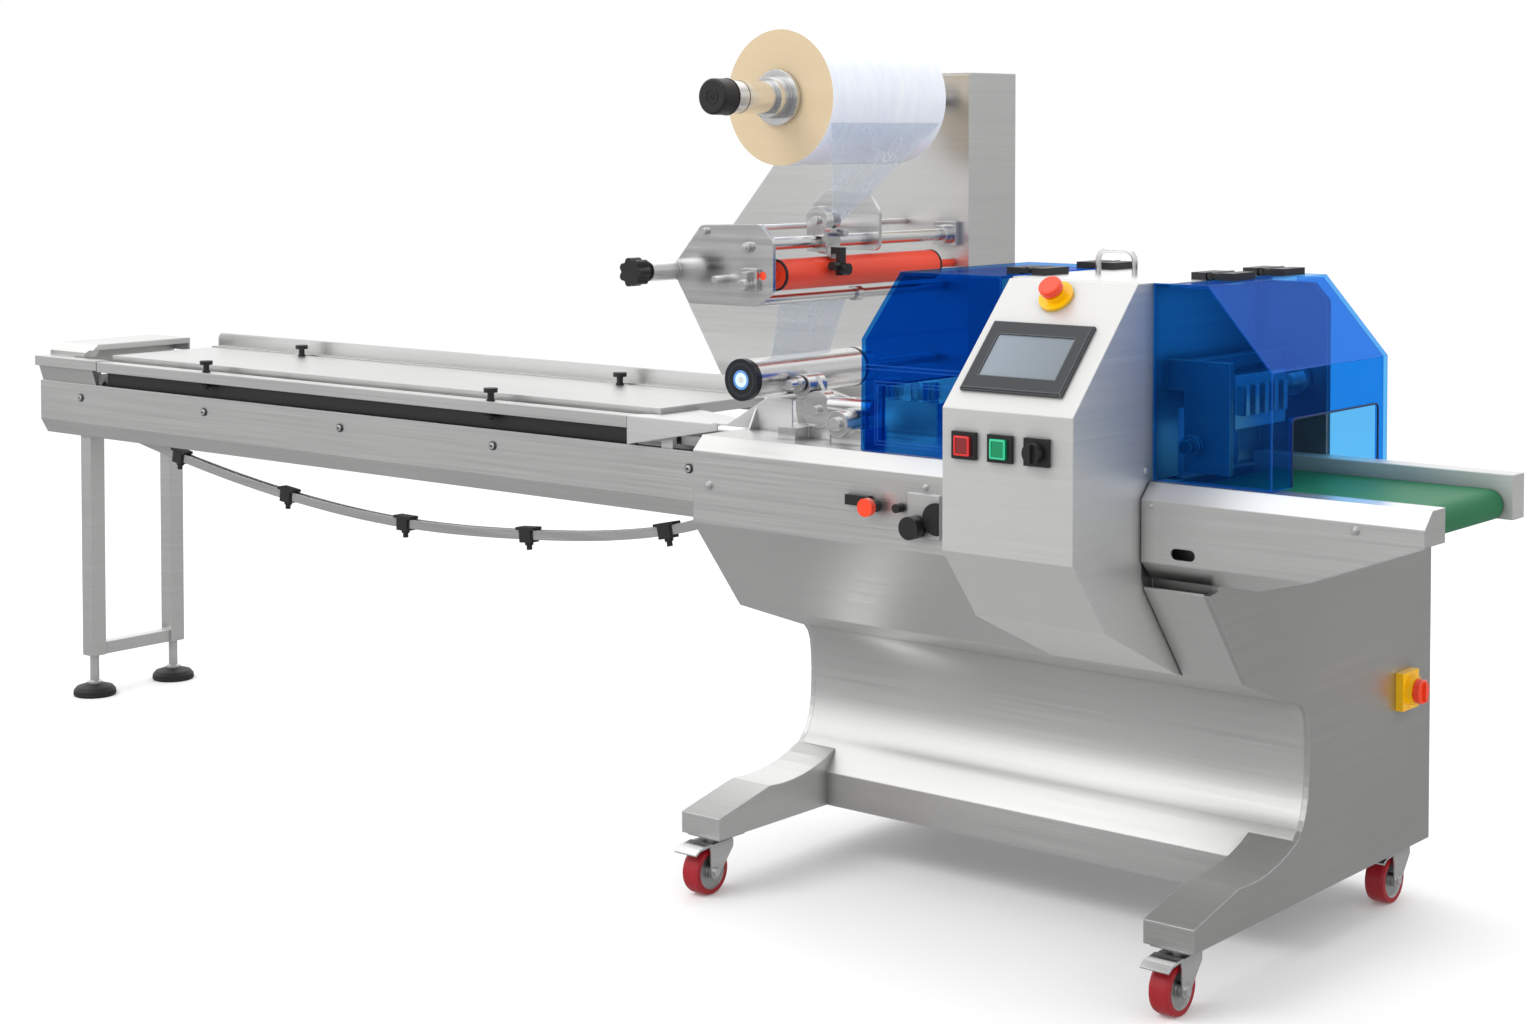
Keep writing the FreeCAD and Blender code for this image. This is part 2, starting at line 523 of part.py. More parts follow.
HANDLE_Y = -122.0
HANDLE_X0 = CONSOLE_LEFT + 49.0
HANDLE_X1 = HANDLE_X0 + 72.0
HANDLE_TOP_Z = GUARD_TOP_Z + 42.0
handle = tube_path([vec(HANDLE_X0, HANDLE_Y, GUARD_TOP_Z), vec(HANDLE_X0, HANDLE_Y, HANDLE_TOP_Z),
                    vec(HANDLE_X1, HANDLE_Y, HANDLE_TOP_Z), vec(HANDLE_X1, HANDLE_Y, GUARD_TOP_Z)], 5.0, 18.0)
save("guard_bridge", fuse([bridge, handle] + bases))

# ================= sealing unit inside the right cover =================
JAW_X = CONSOLE_RIGHT + 74.0
JAW_Z = 992.0
JAW_AXLE_R = 14.0
FRAME_HALF = 42.0
FRAME_TOP_Z = 1044.0
frame_f = box(JAW_X - FRAME_HALF, JAW_X + FRAME_HALF, -228.0, -216.0, 862.0, FRAME_TOP_Z)
frame_tie = box(JAW_X - FRAME_HALF, JAW_X - FRAME_HALF + 20.0, -216.0, 84.0, FRAME_TOP_Z - 18.0, FRAME_TOP_Z)
frame_post = box(CONSOLE_RIGHT, JAW_X - FRAME_HALF, -228.0, -216.0, FRAME_TOP_Z - 50.0, FRAME_TOP_Z)
REAR_WALL_X = CONSOLE_RIGHT + 127.0
rear_wall = prism_y([(CONSOLE_RIGHT, TABLE_Z), (REAR_WALL_X, TABLE_Z), (REAR_WALL_X, 1128.0),
                     (REAR_WALL_X - 28.0, 1158.0), (CONSOLE_RIGHT, 1158.0)], 84.0, 96.0)
jaw_shaft = cyl_y(JAW_AXLE_R, -216.0, 84.0, JAW_X, JAW_Z)
jaw_blocks = [box(JAW_X - 22.0, JAW_X + 22.0, FLOW_Y - 85.0, FLOW_Y + 85.0, JAW_Z - 62.0, JAW_Z + 26.0)]
for i in range(5):
    y = FLOW_Y - 64.0 + 32.0 * i
    jaw_blocks.append(box(JAW_X - 34.0, JAW_X + 34.0, y - 6.0, y + 6.0, JAW_Z - 40.0, JAW_Z + 10.0))
jaw_gear = cyl_y(30.0, -214.0, -198.0, JAW_X, JAW_Z).fuse(cyl_y(26.0, 60.0, 80.0, JAW_X, JAW_Z))
save("sealing_jaw", fuse([jaw_shaft] + jaw_blocks + [jaw_gear]))
stub = cyl_y(12.0, -252.0, -228.0, JAW_X - 26.0, 905.0).fuse(cyl_y(18.0, -236.0, -228.0, JAW_X - 26.0, 905.0))
save("end_sealer_frame", fuse([frame_f, rear_wall, frame_tie, frame_post, stub]))

# ================= discharge conveyor =================
belt_outer = fuse([box(BELT_TAIL_X, BELT_HEAD_X, BELT_Y0, BELT_Y0 + BELT_W, BELT_TOP_Z - 2 * BELT_R, BELT_TOP_Z),
                   cyl_y(BELT_R, BELT_Y0, BELT_Y0 + BELT_W, BELT_TAIL_X, BELT_TOP_Z - BELT_R),
                   cyl_y(BELT_R, BELT_Y0, BELT_Y0 + BELT_W, BELT_HEAD_X, BELT_TOP_Z - BELT_R)])
ri = BELT_R - BELT_T
belt_inner = fuse([box(BELT_TAIL_X, BELT_HEAD_X, BELT_Y0 - 1, BELT_Y0 + BELT_W + 1, BELT_TOP_Z - BELT_R - ri,
                       BELT_TOP_Z - BELT_T),
                   cyl_y(ri, BELT_Y0 - 1, BELT_Y0 + BELT_W + 1, BELT_TAIL_X, BELT_TOP_Z - BELT_R),
                   cyl_y(ri, BELT_Y0 - 1, BELT_Y0 + BELT_W + 1, BELT_HEAD_X, BELT_TOP_Z - BELT_R)])
save("discharge_belt", belt_outer.cut(belt_inner))
RAIL_Y0 = BELT_Y0 + BELT_W + 2.0
RAIL_Y1 = RAIL_Y0 + 43.0
RAIL_Z0 = 796.0
RAIL_Z1 = 868.0
rail = box(CORE_STEP_X + 1.0, RAIL_END_X, RAIL_Y0, RAIL_Y1, RAIL_Z0, RAIL_Z1)
rail_hollow = box(CORE_STEP_X, RAIL_END_X + 1.0, RAIL_Y0 + 3.0, RAIL_Y1 + 1.0, RAIL_Z0 + 3.0, RAIL_Z1 - 3.0)
rail_end = box(RAIL_END_X - 3.0, RAIL_END_X, RAIL_Y0, RAIL_Y1, RAIL_Z0, RAIL_Z1)
rail_foot = box(CORE_RIGHT - 82.0, CORE_RIGHT, RAIL_Y0, RAIL_Y1, REAR_TOP_Z, RAIL_Z0)
bed = box(BELT_TAIL_X + 30.0, BELT_HEAD_X - 30.0, BELT_Y0 + 1.0, BELT_Y0 + BELT_W, BELT_TOP_Z - BELT_T - 4.0,
          BELT_TOP_Z - BELT_T)
BED_XS = (BODY_RIGHT + 8.0, BELT_HEAD_X - 67.0)
bed_web = [box(x, x + 30.0, FASCIA_Y + SHEET, RAIL_Y0, BELT_TOP_Z - 34.0, BELT_TOP_Z - 24.0) for x in BED_XS]
bed_posts = [box(x, x + 30.0, BELT_Y0 + 1.0, BELT_Y0 + BELT_W, BELT_TOP_Z - 24.0, BELT_TOP_Z - BELT_T - 4.0)
             for x in BED_XS]
save("discharge_frame", fuse([rail.cut(rail_hollow), rail_end, rail_foot, bed] + bed_web + bed_posts))
head_roller = fuse([cyl_y(ri - 0.3, BELT_Y0 + 2.0, BELT_Y0 + BELT_W - 2.0, BELT_HEAD_X, BELT_TOP_Z - BELT_R),
                    cyl_y(7.0, -300.0, RAIL_Y0, BELT_HEAD_X, BELT_TOP_Z - BELT_R)])
tail_roller = fuse([cyl_y(ri - 0.3, BELT_Y0 + 2.0, BELT_Y0 + BELT_W - 2.0, BELT_TAIL_X, BELT_TOP_Z - BELT_R),
                    cyl_y(7.0, -270.0, RAIL_Y0, BELT_TAIL_X, BELT_TOP_Z - BELT_R)])
save("belt_rollers", Part.makeCompound([head_roller, tail_roller]))

# ================= main switch =================
SWITCH_Y = 399.0
SWITCH_Z = 411.0
switch_plate = box(BODY_RIGHT, BODY_RIGHT + 14.0, SWITCH_Y - 32.0, SWITCH_Y + 32.0, SWITCH_Z - 34.0,
                   SWITCH_Z + 34.0)
switch_plate = switch_plate.fuse(cyl_x(26.0, BODY_RIGHT + 14.0, BODY_RIGHT + 26.0, SWITCH_Y, SWITCH_Z))
switch_plate = switch_plate.cut(cyl_x(8.0 + RUNNING_FIT, BODY_RIGHT - 1.0, BODY_RIGHT + 30.0, SWITCH_Y, SWITCH_Z))
save("main_switch_plate", switch_plate)
grip = cyl_x(22.0, BODY_RIGHT + 27.0, BODY_RIGHT + 40.0, SWITCH_Y, SWITCH_Z)
grip = grip.makeFillet(3.0, [e for e in grip.Edges if e.BoundBox.XMin > BODY_RIGHT + 39.9])
ridge = box(BODY_RIGHT + 40.0, BODY_RIGHT + 45.0, SWITCH_Y - 5.0, SWITCH_Y + 5.0, SWITCH_Z - 17.0, SWITCH_Z + 17.0)
save("main_switch_knob", fuse([grip, ridge, cyl_x(8.0, BODY_RIGHT + 1.0, BODY_RIGHT + 27.0, SWITCH_Y, SWITCH_Z)]))

# ================= casters =================
HUB_Z = FLOOR_Z + WHEEL_R
FORK_W = WHEEL_W / 2 + 5.0


def caster_fork(x, y):
    """Swivel head, two cheeks, axle and brake pedal, ahead of the stem."""
    wy = y - CASTER_TRAIL
    crown = cyl_z(24.0, UNDERSIDE_Z - 15.0, UNDERSIDE_Z - 6.0, x, y)
    roof = prism_z([(x - FORK_W - 3.0, y + 18.0), (x + FORK_W + 3.0, y + 18.0), (x + FORK_W + 3.0, wy - 14.0),
                    (x - FORK_W - 3.0, wy - 14.0)], UNDERSIDE_Z - 15.0, UNDERSIDE_Z - 12.0)
    cheeks = []
    for x0 in (x - FORK_W - 3.0, x + FORK_W):
        outline = [(y + 18.0, UNDERSIDE_Z - 12.0), (y + 18.0, UNDERSIDE_Z - 26.0), (wy + 11.0, HUB_Z - 8.0),
                   (wy + 5.0, HUB_Z - 12.0), (wy - 5.0, HUB_Z - 12.0), (wy - 11.0, HUB_Z - 6.0),
                   (wy - 14.0, UNDERSIDE_Z - 12.0)]
        cheeks.append(prism_x(outline, x0, x0 + 3.0))
    axle = cyl_x(AXLE_R, x - FORK_W - 3.0, x + FORK_W + 3.0, wy, HUB_Z)
    nuts = [cyl_x(8.0, x - FORK_W - 8.0, x - FORK_W - 3.0, wy, HUB_Z),
            cyl_x(8.0, x + FORK_W + 3.0, x + FORK_W + 8.0, wy, HUB_Z)]
    pedal = prism_x([(wy - 10.0, UNDERSIDE_Z - 15.0), (wy - 10.0, UNDERSIDE_Z - 10.0), (wy - 44.0, UNDERSIDE_Z - 14.0),
                     (wy - 56.0, UNDERSIDE_Z - 22.0), (wy - 54.0, UNDERSIDE_Z - 25.0),
                     (wy - 42.0, UNDERSIDE_Z - 18.0)], x - FORK_W - 3.0, x + FORK_W + 3.0)
    body = fuse([crown, roof] + cheeks + [axle] + nuts + [pedal])
    return body.cut(cyl_z(10.0 + RUNNING_FIT, UNDERSIDE_Z - 18.0, UNDERSIDE_Z, x, y))


def caster_wheel(x, y):
    wy = y - CASTER_TRAIL
    w = WHEEL_W / 2
    profile = [(AXLE_R + RUNNING_FIT, -w - 4.0), (12.0, -w - 4.0), (12.0, -w + 5.0), (31.0, -w + 3.0),
               (33.0, -w), (42.0, -w), (WHEEL_R, -w + 5.0), (WHEEL_R, w - 5.0), (42.0, w), (33.0, w),
               (31.0, w - 3.0), (12.0, w - 5.0), (12.0, w + 4.0), (AXLE_R + RUNNING_FIT, w + 4.0)]
    face = face_of([vec(x + a, wy, HUB_Z + r) for r, a in profile])
    return face.revolve(vec(x, wy, HUB_Z), vec(1, 0, 0), 360.0)


corners = [("fl", CASTER_XS[0], CASTER_FRONT_Y), ("fr", CASTER_XS[1], CASTER_FRONT_Y),
           ("bl", CASTER_XS[0], CASTER_BACK_Y), ("br", CASTER_XS[1], CASTER_BACK_Y)]
for name, x, y in corners:
    save("caster_fork_" + name, caster_fork(x, y))
    save("caster_wheel_" + name, caster_wheel(x, y))

# ================= infeed conveyor =================
INFEED_RIGHT = BODY_LEFT
PANEL_T = 3.0
PANEL_TOP_Z = 788.0
PANEL_FOLD_Z = 691.0
PANEL_LIP_Z = 658.0
front_path = [(INFEED_PANEL_Y, PANEL_TOP_Z), (INFEED_PANEL_Y, PANEL_FOLD_Z),
              (INFEED_PANEL_Y + 9.0, PANEL_LIP_Z)]
back_path = [(INFEED_BACK_Y - 9.0, PANEL_LIP_Z), (INFEED_BACK_Y, PANEL_FOLD_Z),
             (INFEED_BACK_Y, PANEL_TOP_Z)]
front_panel = prism_x(sheet_profile(front_path, PANEL_T), INFEED_LEFT, INFEED_RIGHT)
back_panel = prism_x(sheet_profile(back_path, PANEL_T), INFEED_LEFT, INFEED_RIGHT)
end_panel = box(INFEED_LEFT, INFEED_LEFT + PANEL_T, INFEED_PANEL_Y + PANEL_T, INFEED_BACK_Y - PANEL_T,
                PANEL_FOLD_Z, PANEL_TOP_Z)
corner = prism_y([(INFEED_LEFT - 1.0, PANEL_LIP_Z - 1.0), (INFEED_LEFT + 16.0, PANEL_LIP_Z - 1.0),
                  (INFEED_LEFT - 1.0, PANEL_FOLD_Z)], -140.0, 200.0)
PANEL_BOLT_XS = (INFEED_LEFT + 170.0, -1242.0, -759.0, -273.0, 276.0)
panel_bolts = [bolt_y(x, INFEED_PANEL_Y, 754.0, 7.0, 4.0) for x in PANEL_BOLT_XS]
save("infeed_sides", Part.makeCompound([fuse([front_panel.cut(corner)] + panel_bolts), back_panel.cut(corner),
                                        end_panel]))

SLOT_FRONT_Y = FLOW_Y - SLOT_W / 2
SLOT_BACK_Y = FLOW_Y + SLOT_W / 2
FRAME_XS = (-1400.0, -1050.0, -700.0, -350.0, 0.0)
BAR_Z0 = 735.0
BAR_Z1 = 760.0
DECK_LIP = 24.0
STRIP_START_X = INFEED_LEFT + 258.0
# front rail: a folded lip carried by an upright strip on the side rail, with a deep shadow between the two
strip_path = [(SLOT_FRONT_Y, DECK_TOP_Z), (DECK_FRONT_Y, DECK_TOP_Z), (DECK_FRONT_Y, DECK_TOP_Z - DECK_LIP)]
front_strip = prism_x(sheet_profile(strip_path, DECK_T), STRIP_START_X, DECK_FRONT_END_X)
front_web = box(STRIP_START_X, DECK_FRONT_END_X, SLOT_FRONT_Y - DECK_T, SLOT_FRONT_Y, PANEL_TOP_Z,
                DECK_TOP_Z - DECK_T)
# rear deck: a plate raised over the front rail, on an edge bar down each side and across the end
EDGE_Z1 = REAR_DECK_Z - DECK_T
rear_deck = [box(DECK_START_X, DECK_REAR_END_X, SLOT_BACK_Y, DECK_BACK_Y, EDGE_Z1, REAR_DECK_Z)]
rear_deck.append(box(DECK_START_X, DECK_REAR_END_X, SLOT_BACK_Y, SLOT_BACK_Y + DECK_T, DECK_TOP_Z - 10.0, EDGE_Z1))
rear_deck.append(box(DECK_START_X, DECK_REAR_END_X, DECK_BACK_Y - DECK_T, DECK_BACK_Y, DECK_TOP_Z - 22.0, EDGE_Z1))
rear_deck.append(box(DECK_REAR_END_X - DECK_T, DECK_REAR_END_X, SLOT_BACK_Y + DECK_T, DECK_BACK_Y - DECK_T,
                     DECK_TOP_Z - 10.0, EDGE_Z1))
for x in FRAME_XS:
    rear_deck.append(box(x - 12.0, x + 12.0, SLOT_BACK_Y + 4.0, SLOT_BACK_Y + 16.0, BAR_Z1, EDGE_Z1))
    rear_deck.append(box(x - 12.0, x + 12.0, INFEED_BACK_Y - 16.0, INFEED_BACK_Y - 4.0, PANEL_TOP_Z, EDGE_Z1))
save("infeed_decks", Part.makeCompound([front_strip, front_web] + rear_deck))

GUIDE_TOP_Z = 895.0
GUIDE_END_X = 312.0
guide_path = [(DECK_BACK_Y, GUIDE_TOP_Z), (DECK_BACK_Y, REAR_DECK_Z), (DECK_BACK_Y - 24.0, REAR_DECK_Z)]
guide = prism_x(sheet_profile(guide_path, -3.0), DECK_START_X, GUIDE_END_X)
guide_lip = box(DECK_START_X, GUIDE_END_X, DECK_BACK_Y - 3.0, DECK_BACK_Y + 5.0, GUIDE_TOP_Z - 3.0, GUIDE_TOP_Z)
guide_nip = prism_y([(DECK_START_X - 1.0, GUIDE_TOP_Z + 1.0), (DECK_START_X + 12.0, GUIDE_TOP_Z + 1.0),
                     (DECK_START_X + 4.0, GUIDE_TOP_Z - 5.0), (DECK_START_X - 1.0, GUIDE_TOP_Z - 14.0)],
                    DECK_BACK_Y - 5.0, DECK_BACK_Y + 10.0)
save("infeed_guide_rear", guide.fuse(guide_lip).cut(guide_nip))


def wing_knob(x, y, z):
    """Black T knob on a short neck with a washer."""
    neck = cyl_z(7.0, z + 4.0, z + 18.0, x, y)
    head = cyl_z(15.0, z + 18.0, z + 27.0, x, y)
    return fuse([cyl_z(9.0, z, z + 4.0, x, y), neck, head])


FRONT_KNOB_Y = -121.0
FRONT_KNOB_XS = (-1231.0, -278.0)
REAR_KNOBS = [(-1280.0, 205.0), (-213.0, 205.0)]
knobs = [wing_knob(x, y, REAR_DECK_Z) for x, y in REAR_KNOBS]
for x in FRONT_KNOB_XS:
    washer = cyl_z(13.0, DECK_TOP_Z - 34.0, DECK_TOP_Z - 30.0, x, FRONT_KNOB_Y)
    stud = cyl_z(5.0, DECK_TOP_Z - 40.0, DECK_TOP_Z - DECK_T, x, FRONT_KNOB_Y)
    knobs += [wing_knob(x, FRONT_KNOB_Y, DECK_TOP_Z), washer.fuse(stud)]
save("guide_knobs", Part.makeCompound(knobs))

# rounded tail cover over the return sprocket and the fairing under it
TAIL_X0 = INFEED_LEFT + 8.0
TAIL_X1 = INFEED_LEFT + 176.0
TAIL_BLOCK_X = TAIL_X1 - 66.0
TAIL_BACK_Y = 206.0
TAIL_TOP_Z = DECK_TOP_Z + 34.0
TAIL_LOW_Z = DECK_TOP_Z + 2.0
TAIL_DECK_Z = DECK_TOP_Z - 18.0
RAIL_LOW_Z = DECK_TOP_Z - 22.0
tail = prism_x([(-96.0, TAIL_LOW_Z), (-96.0, TAIL_LOW_Z + 12.0), (-72.0, TAIL_TOP_Z), (TAIL_BACK_Y, TAIL_TOP_Z),
                (TAIL_BACK_Y, TAIL_LOW_Z)], TAIL_X0, TAIL_X1)
# the cover's end is rounded off and its right part is only a thin roof
tail_round = prism_y([(TAIL_X0 - 1.0, TAIL_TOP_Z - 14.0), (TAIL_X0 - 1.0, TAIL_TOP_Z + 8.0),
                      (TAIL_X0 + 22.0, TAIL_TOP_Z + 8.0)], -100.0, TAIL_BACK_Y + 4.0)
tail_void = box(TAIL_BLOCK_X, TAIL_X1 + 1.0, -58.0, TAIL_BACK_Y - 4.0, TAIL_LOW_Z - 1.0, TAIL_TOP_Z - 14.0)
tail_mouth = prism_y([(TAIL_X1 - 30.0, TAIL_LOW_Z - 1.0), (TAIL_X1 + 1.0, TAIL_LOW_Z - 1.0),
                      (TAIL_X1 + 1.0, TAIL_TOP_Z - 14.0), (TAIL_X1 - 14.0, TAIL_TOP_Z - 14.0)], -100.0, -50.0)
tail = cut(tail, [tail_round, tail_void, tail_mouth])
tail_front = box(INFEED_LEFT, STRIP_START_X - 3.0, DECK_FRONT_Y, -100.0, RAIL_LOW_Z, TAIL_LOW_Z)
tail_skirt = prism_x([(-110.0, PANEL_TOP_Z), (-118.0, PANEL_TOP_Z), (-130.0, RAIL_LOW_Z), (-100.0, RAIL_LOW_Z)],
                     TAIL_X0, INFEED_LEFT + 230.0)
tail_deck = box(TAIL_X0, TAIL_BLOCK_X, -100.0, TAIL_BACK_Y, TAIL_DECK_Z, TAIL_LOW_Z)
tail_rear = box(TAIL_X0, TAIL_BLOCK_X, INFEED_BACK_Y - 16.0, INFEED_BACK_Y - 4.0, PANEL_TOP_Z, TAIL_DECK_Z)
save("tail_cover", fuse([tail, tail_front, tail_skirt, tail_deck, tail_rear]))

# leg frame, cross bars and sprocket shafts
LEG_YS = (-87.0, 150.0)
leg_parts = [box(LEG_X - POST / 2, LEG_X + POST / 2, y - POST / 2, y + POST / 2, 110.0, BAR_Z0)
             for y in LEG_YS]
leg_parts.append(box(LEG_X - 15.0, LEG_X + 15.0, LEG_YS[0] + POST / 2, LEG_YS[1] - POST / 2, 110.0, 140.0))
leg_parts.append(box(LEG_X - POST / 2, LEG_X + POST / 2, INFEED_PANEL_Y + PANEL_T, INFEED_BACK_Y - PANEL_T,
                     BAR_Z0, BAR_Z1))
for y in LEG_YS:
    leg_parts.append(cyl_z(18.0, FLOOR_Z + 29.0, FLOOR_Z + 35.0, LEG_X, y))
    leg_parts.append(cyl_z(11.0, FLOOR_Z + 35.0, 110.0, LEG_X, y))
frame_solids = [fuse(leg_parts)]
for x in FRAME_XS:
    frame_solids.append(box(x - 15.0, x + 15.0, INFEED_PANEL_Y + PANEL_T, INFEED_BACK_Y - PANEL_T, BAR_Z0,
                            BAR_Z1))
SIDE_RAIL = 17.0
for y in (INFEED_PANEL_Y + PANEL_T, INFEED_BACK_Y - PANEL_T - SIDE_RAIL):
    frame_solids.append(box(INFEED_LEFT + PANEL_T, INFEED_RIGHT, y, y + SIDE_RAIL, PANEL_TOP_Z - PANEL_T,
                            PANEL_TOP_Z))
CHAIN_H = 20.0
CHAIN_W = 16.0
SPROCKET_Z = 745.0
SPROCKET_R = 60.0
CHAIN_CLEAR = 6.0
SPROCKET_XS = (DECK_START_X + 36.0, BODY_LEFT - SPROCKET_R - CHAIN_H / 2 - CHAIN_CLEAR)
for x in SPROCKET_XS:
    shaft = cyl_y(10.0, INFEED_PANEL_Y + PANEL_T, INFEED_BACK_Y - PANEL_T, x, SPROCKET_Z)
    disc = cyl_y(SPROCKET_R - CHAIN_H / 2 - 0.9, FLOW_Y - 5.0, FLOW_Y + 5.0, x, SPROCKET_Z)
    frame_solids.append(shaft.fuse(disc))
save("infeed_frame", Part.makeCompound(frame_solids))


def levelling_foot(y):
    """Threaded stem, locking collar and domed rubber pad."""
    profile = [(0.0, FLOOR_Z), (50.0, FLOOR_Z), (52.0, FLOOR_Z + 4.0), (51.0, FLOOR_Z + 14.0),
               (44.0, FLOOR_Z + 22.0), (22.0, FLOOR_Z + 29.0), (0.0, FLOOR_Z + 29.0)]
    return face_of([vec(LEG_X + r, y, z) for r, z in profile]).revolve(vec(LEG_X, y, 0), vec(0, 0, 1), 360.0)


save("levelling_pads", Part.makeCompound([levelling_foot(y) for y in LEG_YS]))

# ---- lug chain: one fixed loop with a sagging return run ----
sag = Part.BSplineCurve()
sag.interpolate([vec(SPROCKET_XS[1], 0, SPROCKET_Z - SPROCKET_R), vec(268.0, 0, 639.0), vec(192.0, 0, 620.0),
                 vec(-198.0, 0, 571.0), vec(-578.0, 0, 557.0), vec(-973.0, 0, 581.0),
                 vec(-1400.0, 0, 642.0), vec(SPROCKET_XS[0], 0, SPROCKET_Z - SPROCKET_R)])


def chain_line():
    """Centre line of the loop as (x, z) points, clockwise from the top left."""
    pts = []
    for i in range(13):
        a = math.radians(90.0 + 180.0 - 180.0 * i / 12)
        pts.append((SPROCKET_XS[0] + SPROCKET_R * math.cos(a), SPROCKET_Z + SPROCKET_R * math.sin(a)))
    for i in range(13):
        a = math.radians(90.0 - 180.0 * i / 12)
        pts.append((SPROCKET_XS[1] + SPROCKET_R * math.cos(a), SPROCKET_Z + SPROCKET_R * math.sin(a)))
    n = 40
    a = sag.FirstParameter
    b = sag.LastParameter
    for i in range(1, n):
        p = sag.value(a + (b - a) * i / n)
        pts.append((p.x, p.z))
    return pts


def loop_offset(points, t):
    """Offset a closed clockwise polyline outwards by t."""
    out = []
    n = len(points)
    for i in range(n):
        a = points[i - 1]
        b = points[i]
        c = points[(i + 1) % n]
        d0 = (b[0] - a[0], b[1] - a[1])
        d1 = (c[0] - b[0], c[1] - b[1])
        l0 = math.hypot(*d0)
        l1 = math.hypot(*d1)
        n0 = (-d0[1] / l0, d0[0] / l0)
        n1 = (-d1[1] / l1, d1[0] / l1)
        k = 1.0 + n0[0] * n1[0] + n0[1] * n1[1]
        out.append((b[0] + t * (n0[0] + n1[0]) / k, b[1] + t * (n0[1] + n1[1]) / k))
    return out


line = chain_line()


def loop_band(half_h, y0, y1):
    outer = prism_y(loop_offset(line, half_h), y0, y1)
    return outer.cut(prism_y(loop_offset(line, -half_h), y0 - 1.0, y1 + 1.0))


links = loop_band(CHAIN_H / 2, FLOW_Y - CHAIN_W / 2, FLOW_Y - 4.0)
links_b = loop_band(CHAIN_H / 2, FLOW_Y + 4.0, FLOW_Y + CHAIN_W / 2)
core_band = loop_band(5.0, FLOW_Y - 4.0, FLOW_Y + 4.0)
chain = fuse([links, core_band, links_b])
save("lug_chain", chain)


def sag_at(x):
    lo, hi = sag.FirstParameter, sag.LastParameter
    for _ in range(40):
        mid = (lo + hi) / 2
        if sag.value(mid).x > x:
            lo = mid
        else:
            hi = mid
    p = sag.value(lo)
    d = sag.tangent(lo)[0]
    return p.z, math.degrees(math.atan2(d.z, -d.x))


envelope = prism_y(loop_offset(line, CHAIN_H / 2), FLOW_Y - CHAIN_W / 2, FLOW_Y + CHAIN_W / 2)
hollow = prism_y(loop_offset(line, -CHAIN_H / 2), FLOW_Y - 60.0, FLOW_Y + 60.0)
band_solid = envelope.cut(hollow)
lugs = []
for x in (-1370.0, -973.0, -578.0, -198.0, 192.0):
    z, tilt = sag_at(x)
    saddle = box(x - 16.0, x + 16.0, FLOW_Y - 13.0, FLOW_Y + 13.0, z - 16.0, z + 13.0)
    wings = box(x - 26.0, x + 26.0, FLOW_Y - 13.0, FLOW_Y + 13.0, z + 10.0, z + 16.0)
    stud = fuse([cyl_z(9.0, z - 22.0, z - 16.0, x, FLOW_Y), cyl_z(6.0, z - 32.0, z - 22.0, x, FLOW_Y)])
    lug = fuse([saddle, wings, stud])
    lug.rotate(vec(x, FLOW_Y, z), vec(0, 1, 0), tilt)
    lugs.append(lug.cut(band_solid))
top_z = SPROCKET_Z + SPROCKET_R + CHAIN_H / 2
for i in range(5):
    x = -1380.0 + 390.0 * i
    lugs.append(box(x - 12.0, x + 12.0, FLOW_Y - 8.0, FLOW_Y + 8.0, top_z, top_z + 22.0))
save("chain_lugs", Part.makeCompound(lugs))

# ---- transfer plate between infeed and former ----
TRANSFER_END_X = 362.0
sheet_top = prism_z([(DECK_FRONT_END_X + 1.0, DECK_FRONT_Y), (TRANSFER_END_X, DECK_FRONT_Y),
                     (TRANSFER_END_X, -44.0),
                     (DECK_REAR_END_X + 1.0, 40.0), (DECK_REAR_END_X + 1.0, -78.0),
                     (DECK_FRONT_END_X + 1.0, -102.0)], DECK_TOP_Z - DECK_T, DECK_TOP_Z)
side_flap = prism_y([(DECK_FRONT_END_X + 1.0, DECK_TOP_Z), (DECK_FRONT_END_X + 1.0, DECK_TOP_Z - 57.0),
                     (TRANSFER_END_X, DECK_TOP_Z - 12.0), (TRANSFER_END_X, DECK_TOP_Z)], DECK_FRONT_Y,
                    DECK_FRONT_Y + DECK_T)
transfer_foot = box(200.0, 230.0, INFEED_PANEL_Y + 3.0, INFEED_PANEL_Y + 15.0, PANEL_TOP_Z,
                    DECK_TOP_Z - DECK_T)
save("transfer_plate", fuse([sheet_top, side_flap, transfer_foot]))

# ================= film station =================
PLATE8 = 8.0
PLATE_TOP_Z = COLUMN_TOP_Z - 4.0
PLATE_LOW_Z = TABLE_Z + 10.0
column = box(COLUMN_X0, COLUMN_X1, REAR_PLATE_Y + PLATE8, BACK_Y - 10.0, REAR_TOP_Z, COLUMN_TOP_Z)
rear_outline = [(COLUMN_X1, PLATE_LOW_Z), (COLUMN_X1, PLATE_TOP_Z), (285.0, PLATE_TOP_Z), (111.0, 1334.0),
                (11.0, 1221.0), (-139.0, 1056.0), (-125.0, 1033.0), (-35.0, 891.0), (-14.0, PLATE_LOW_Z)]
rear_plate = prism_y(rear_outline, REAR_PLATE_Y, REAR_PLATE_Y + PLATE8)
edge_flange = prism_y([(-14.0, PLATE_LOW_Z), (-139.0, 1056.0), (111.0, 1334.0), (285.0, PLATE_TOP_Z),
                       (291.0, PLATE_TOP_Z - 6.0), (117.0, 1328.0), (-131.0, 1056.0), (-6.0, PLATE_LOW_Z)],
                      REAR_PLATE_Y + PLATE8, REAR_PLATE_Y + 40.0)
foot_plate = box(BODY_LEFT, COLUMN_X1, REAR_PLATE_Y, REAR_PLATE_Y + PLATE8, REAR_TOP_Z, PLATE_LOW_Z)
SHAFT_END_R = 11.9
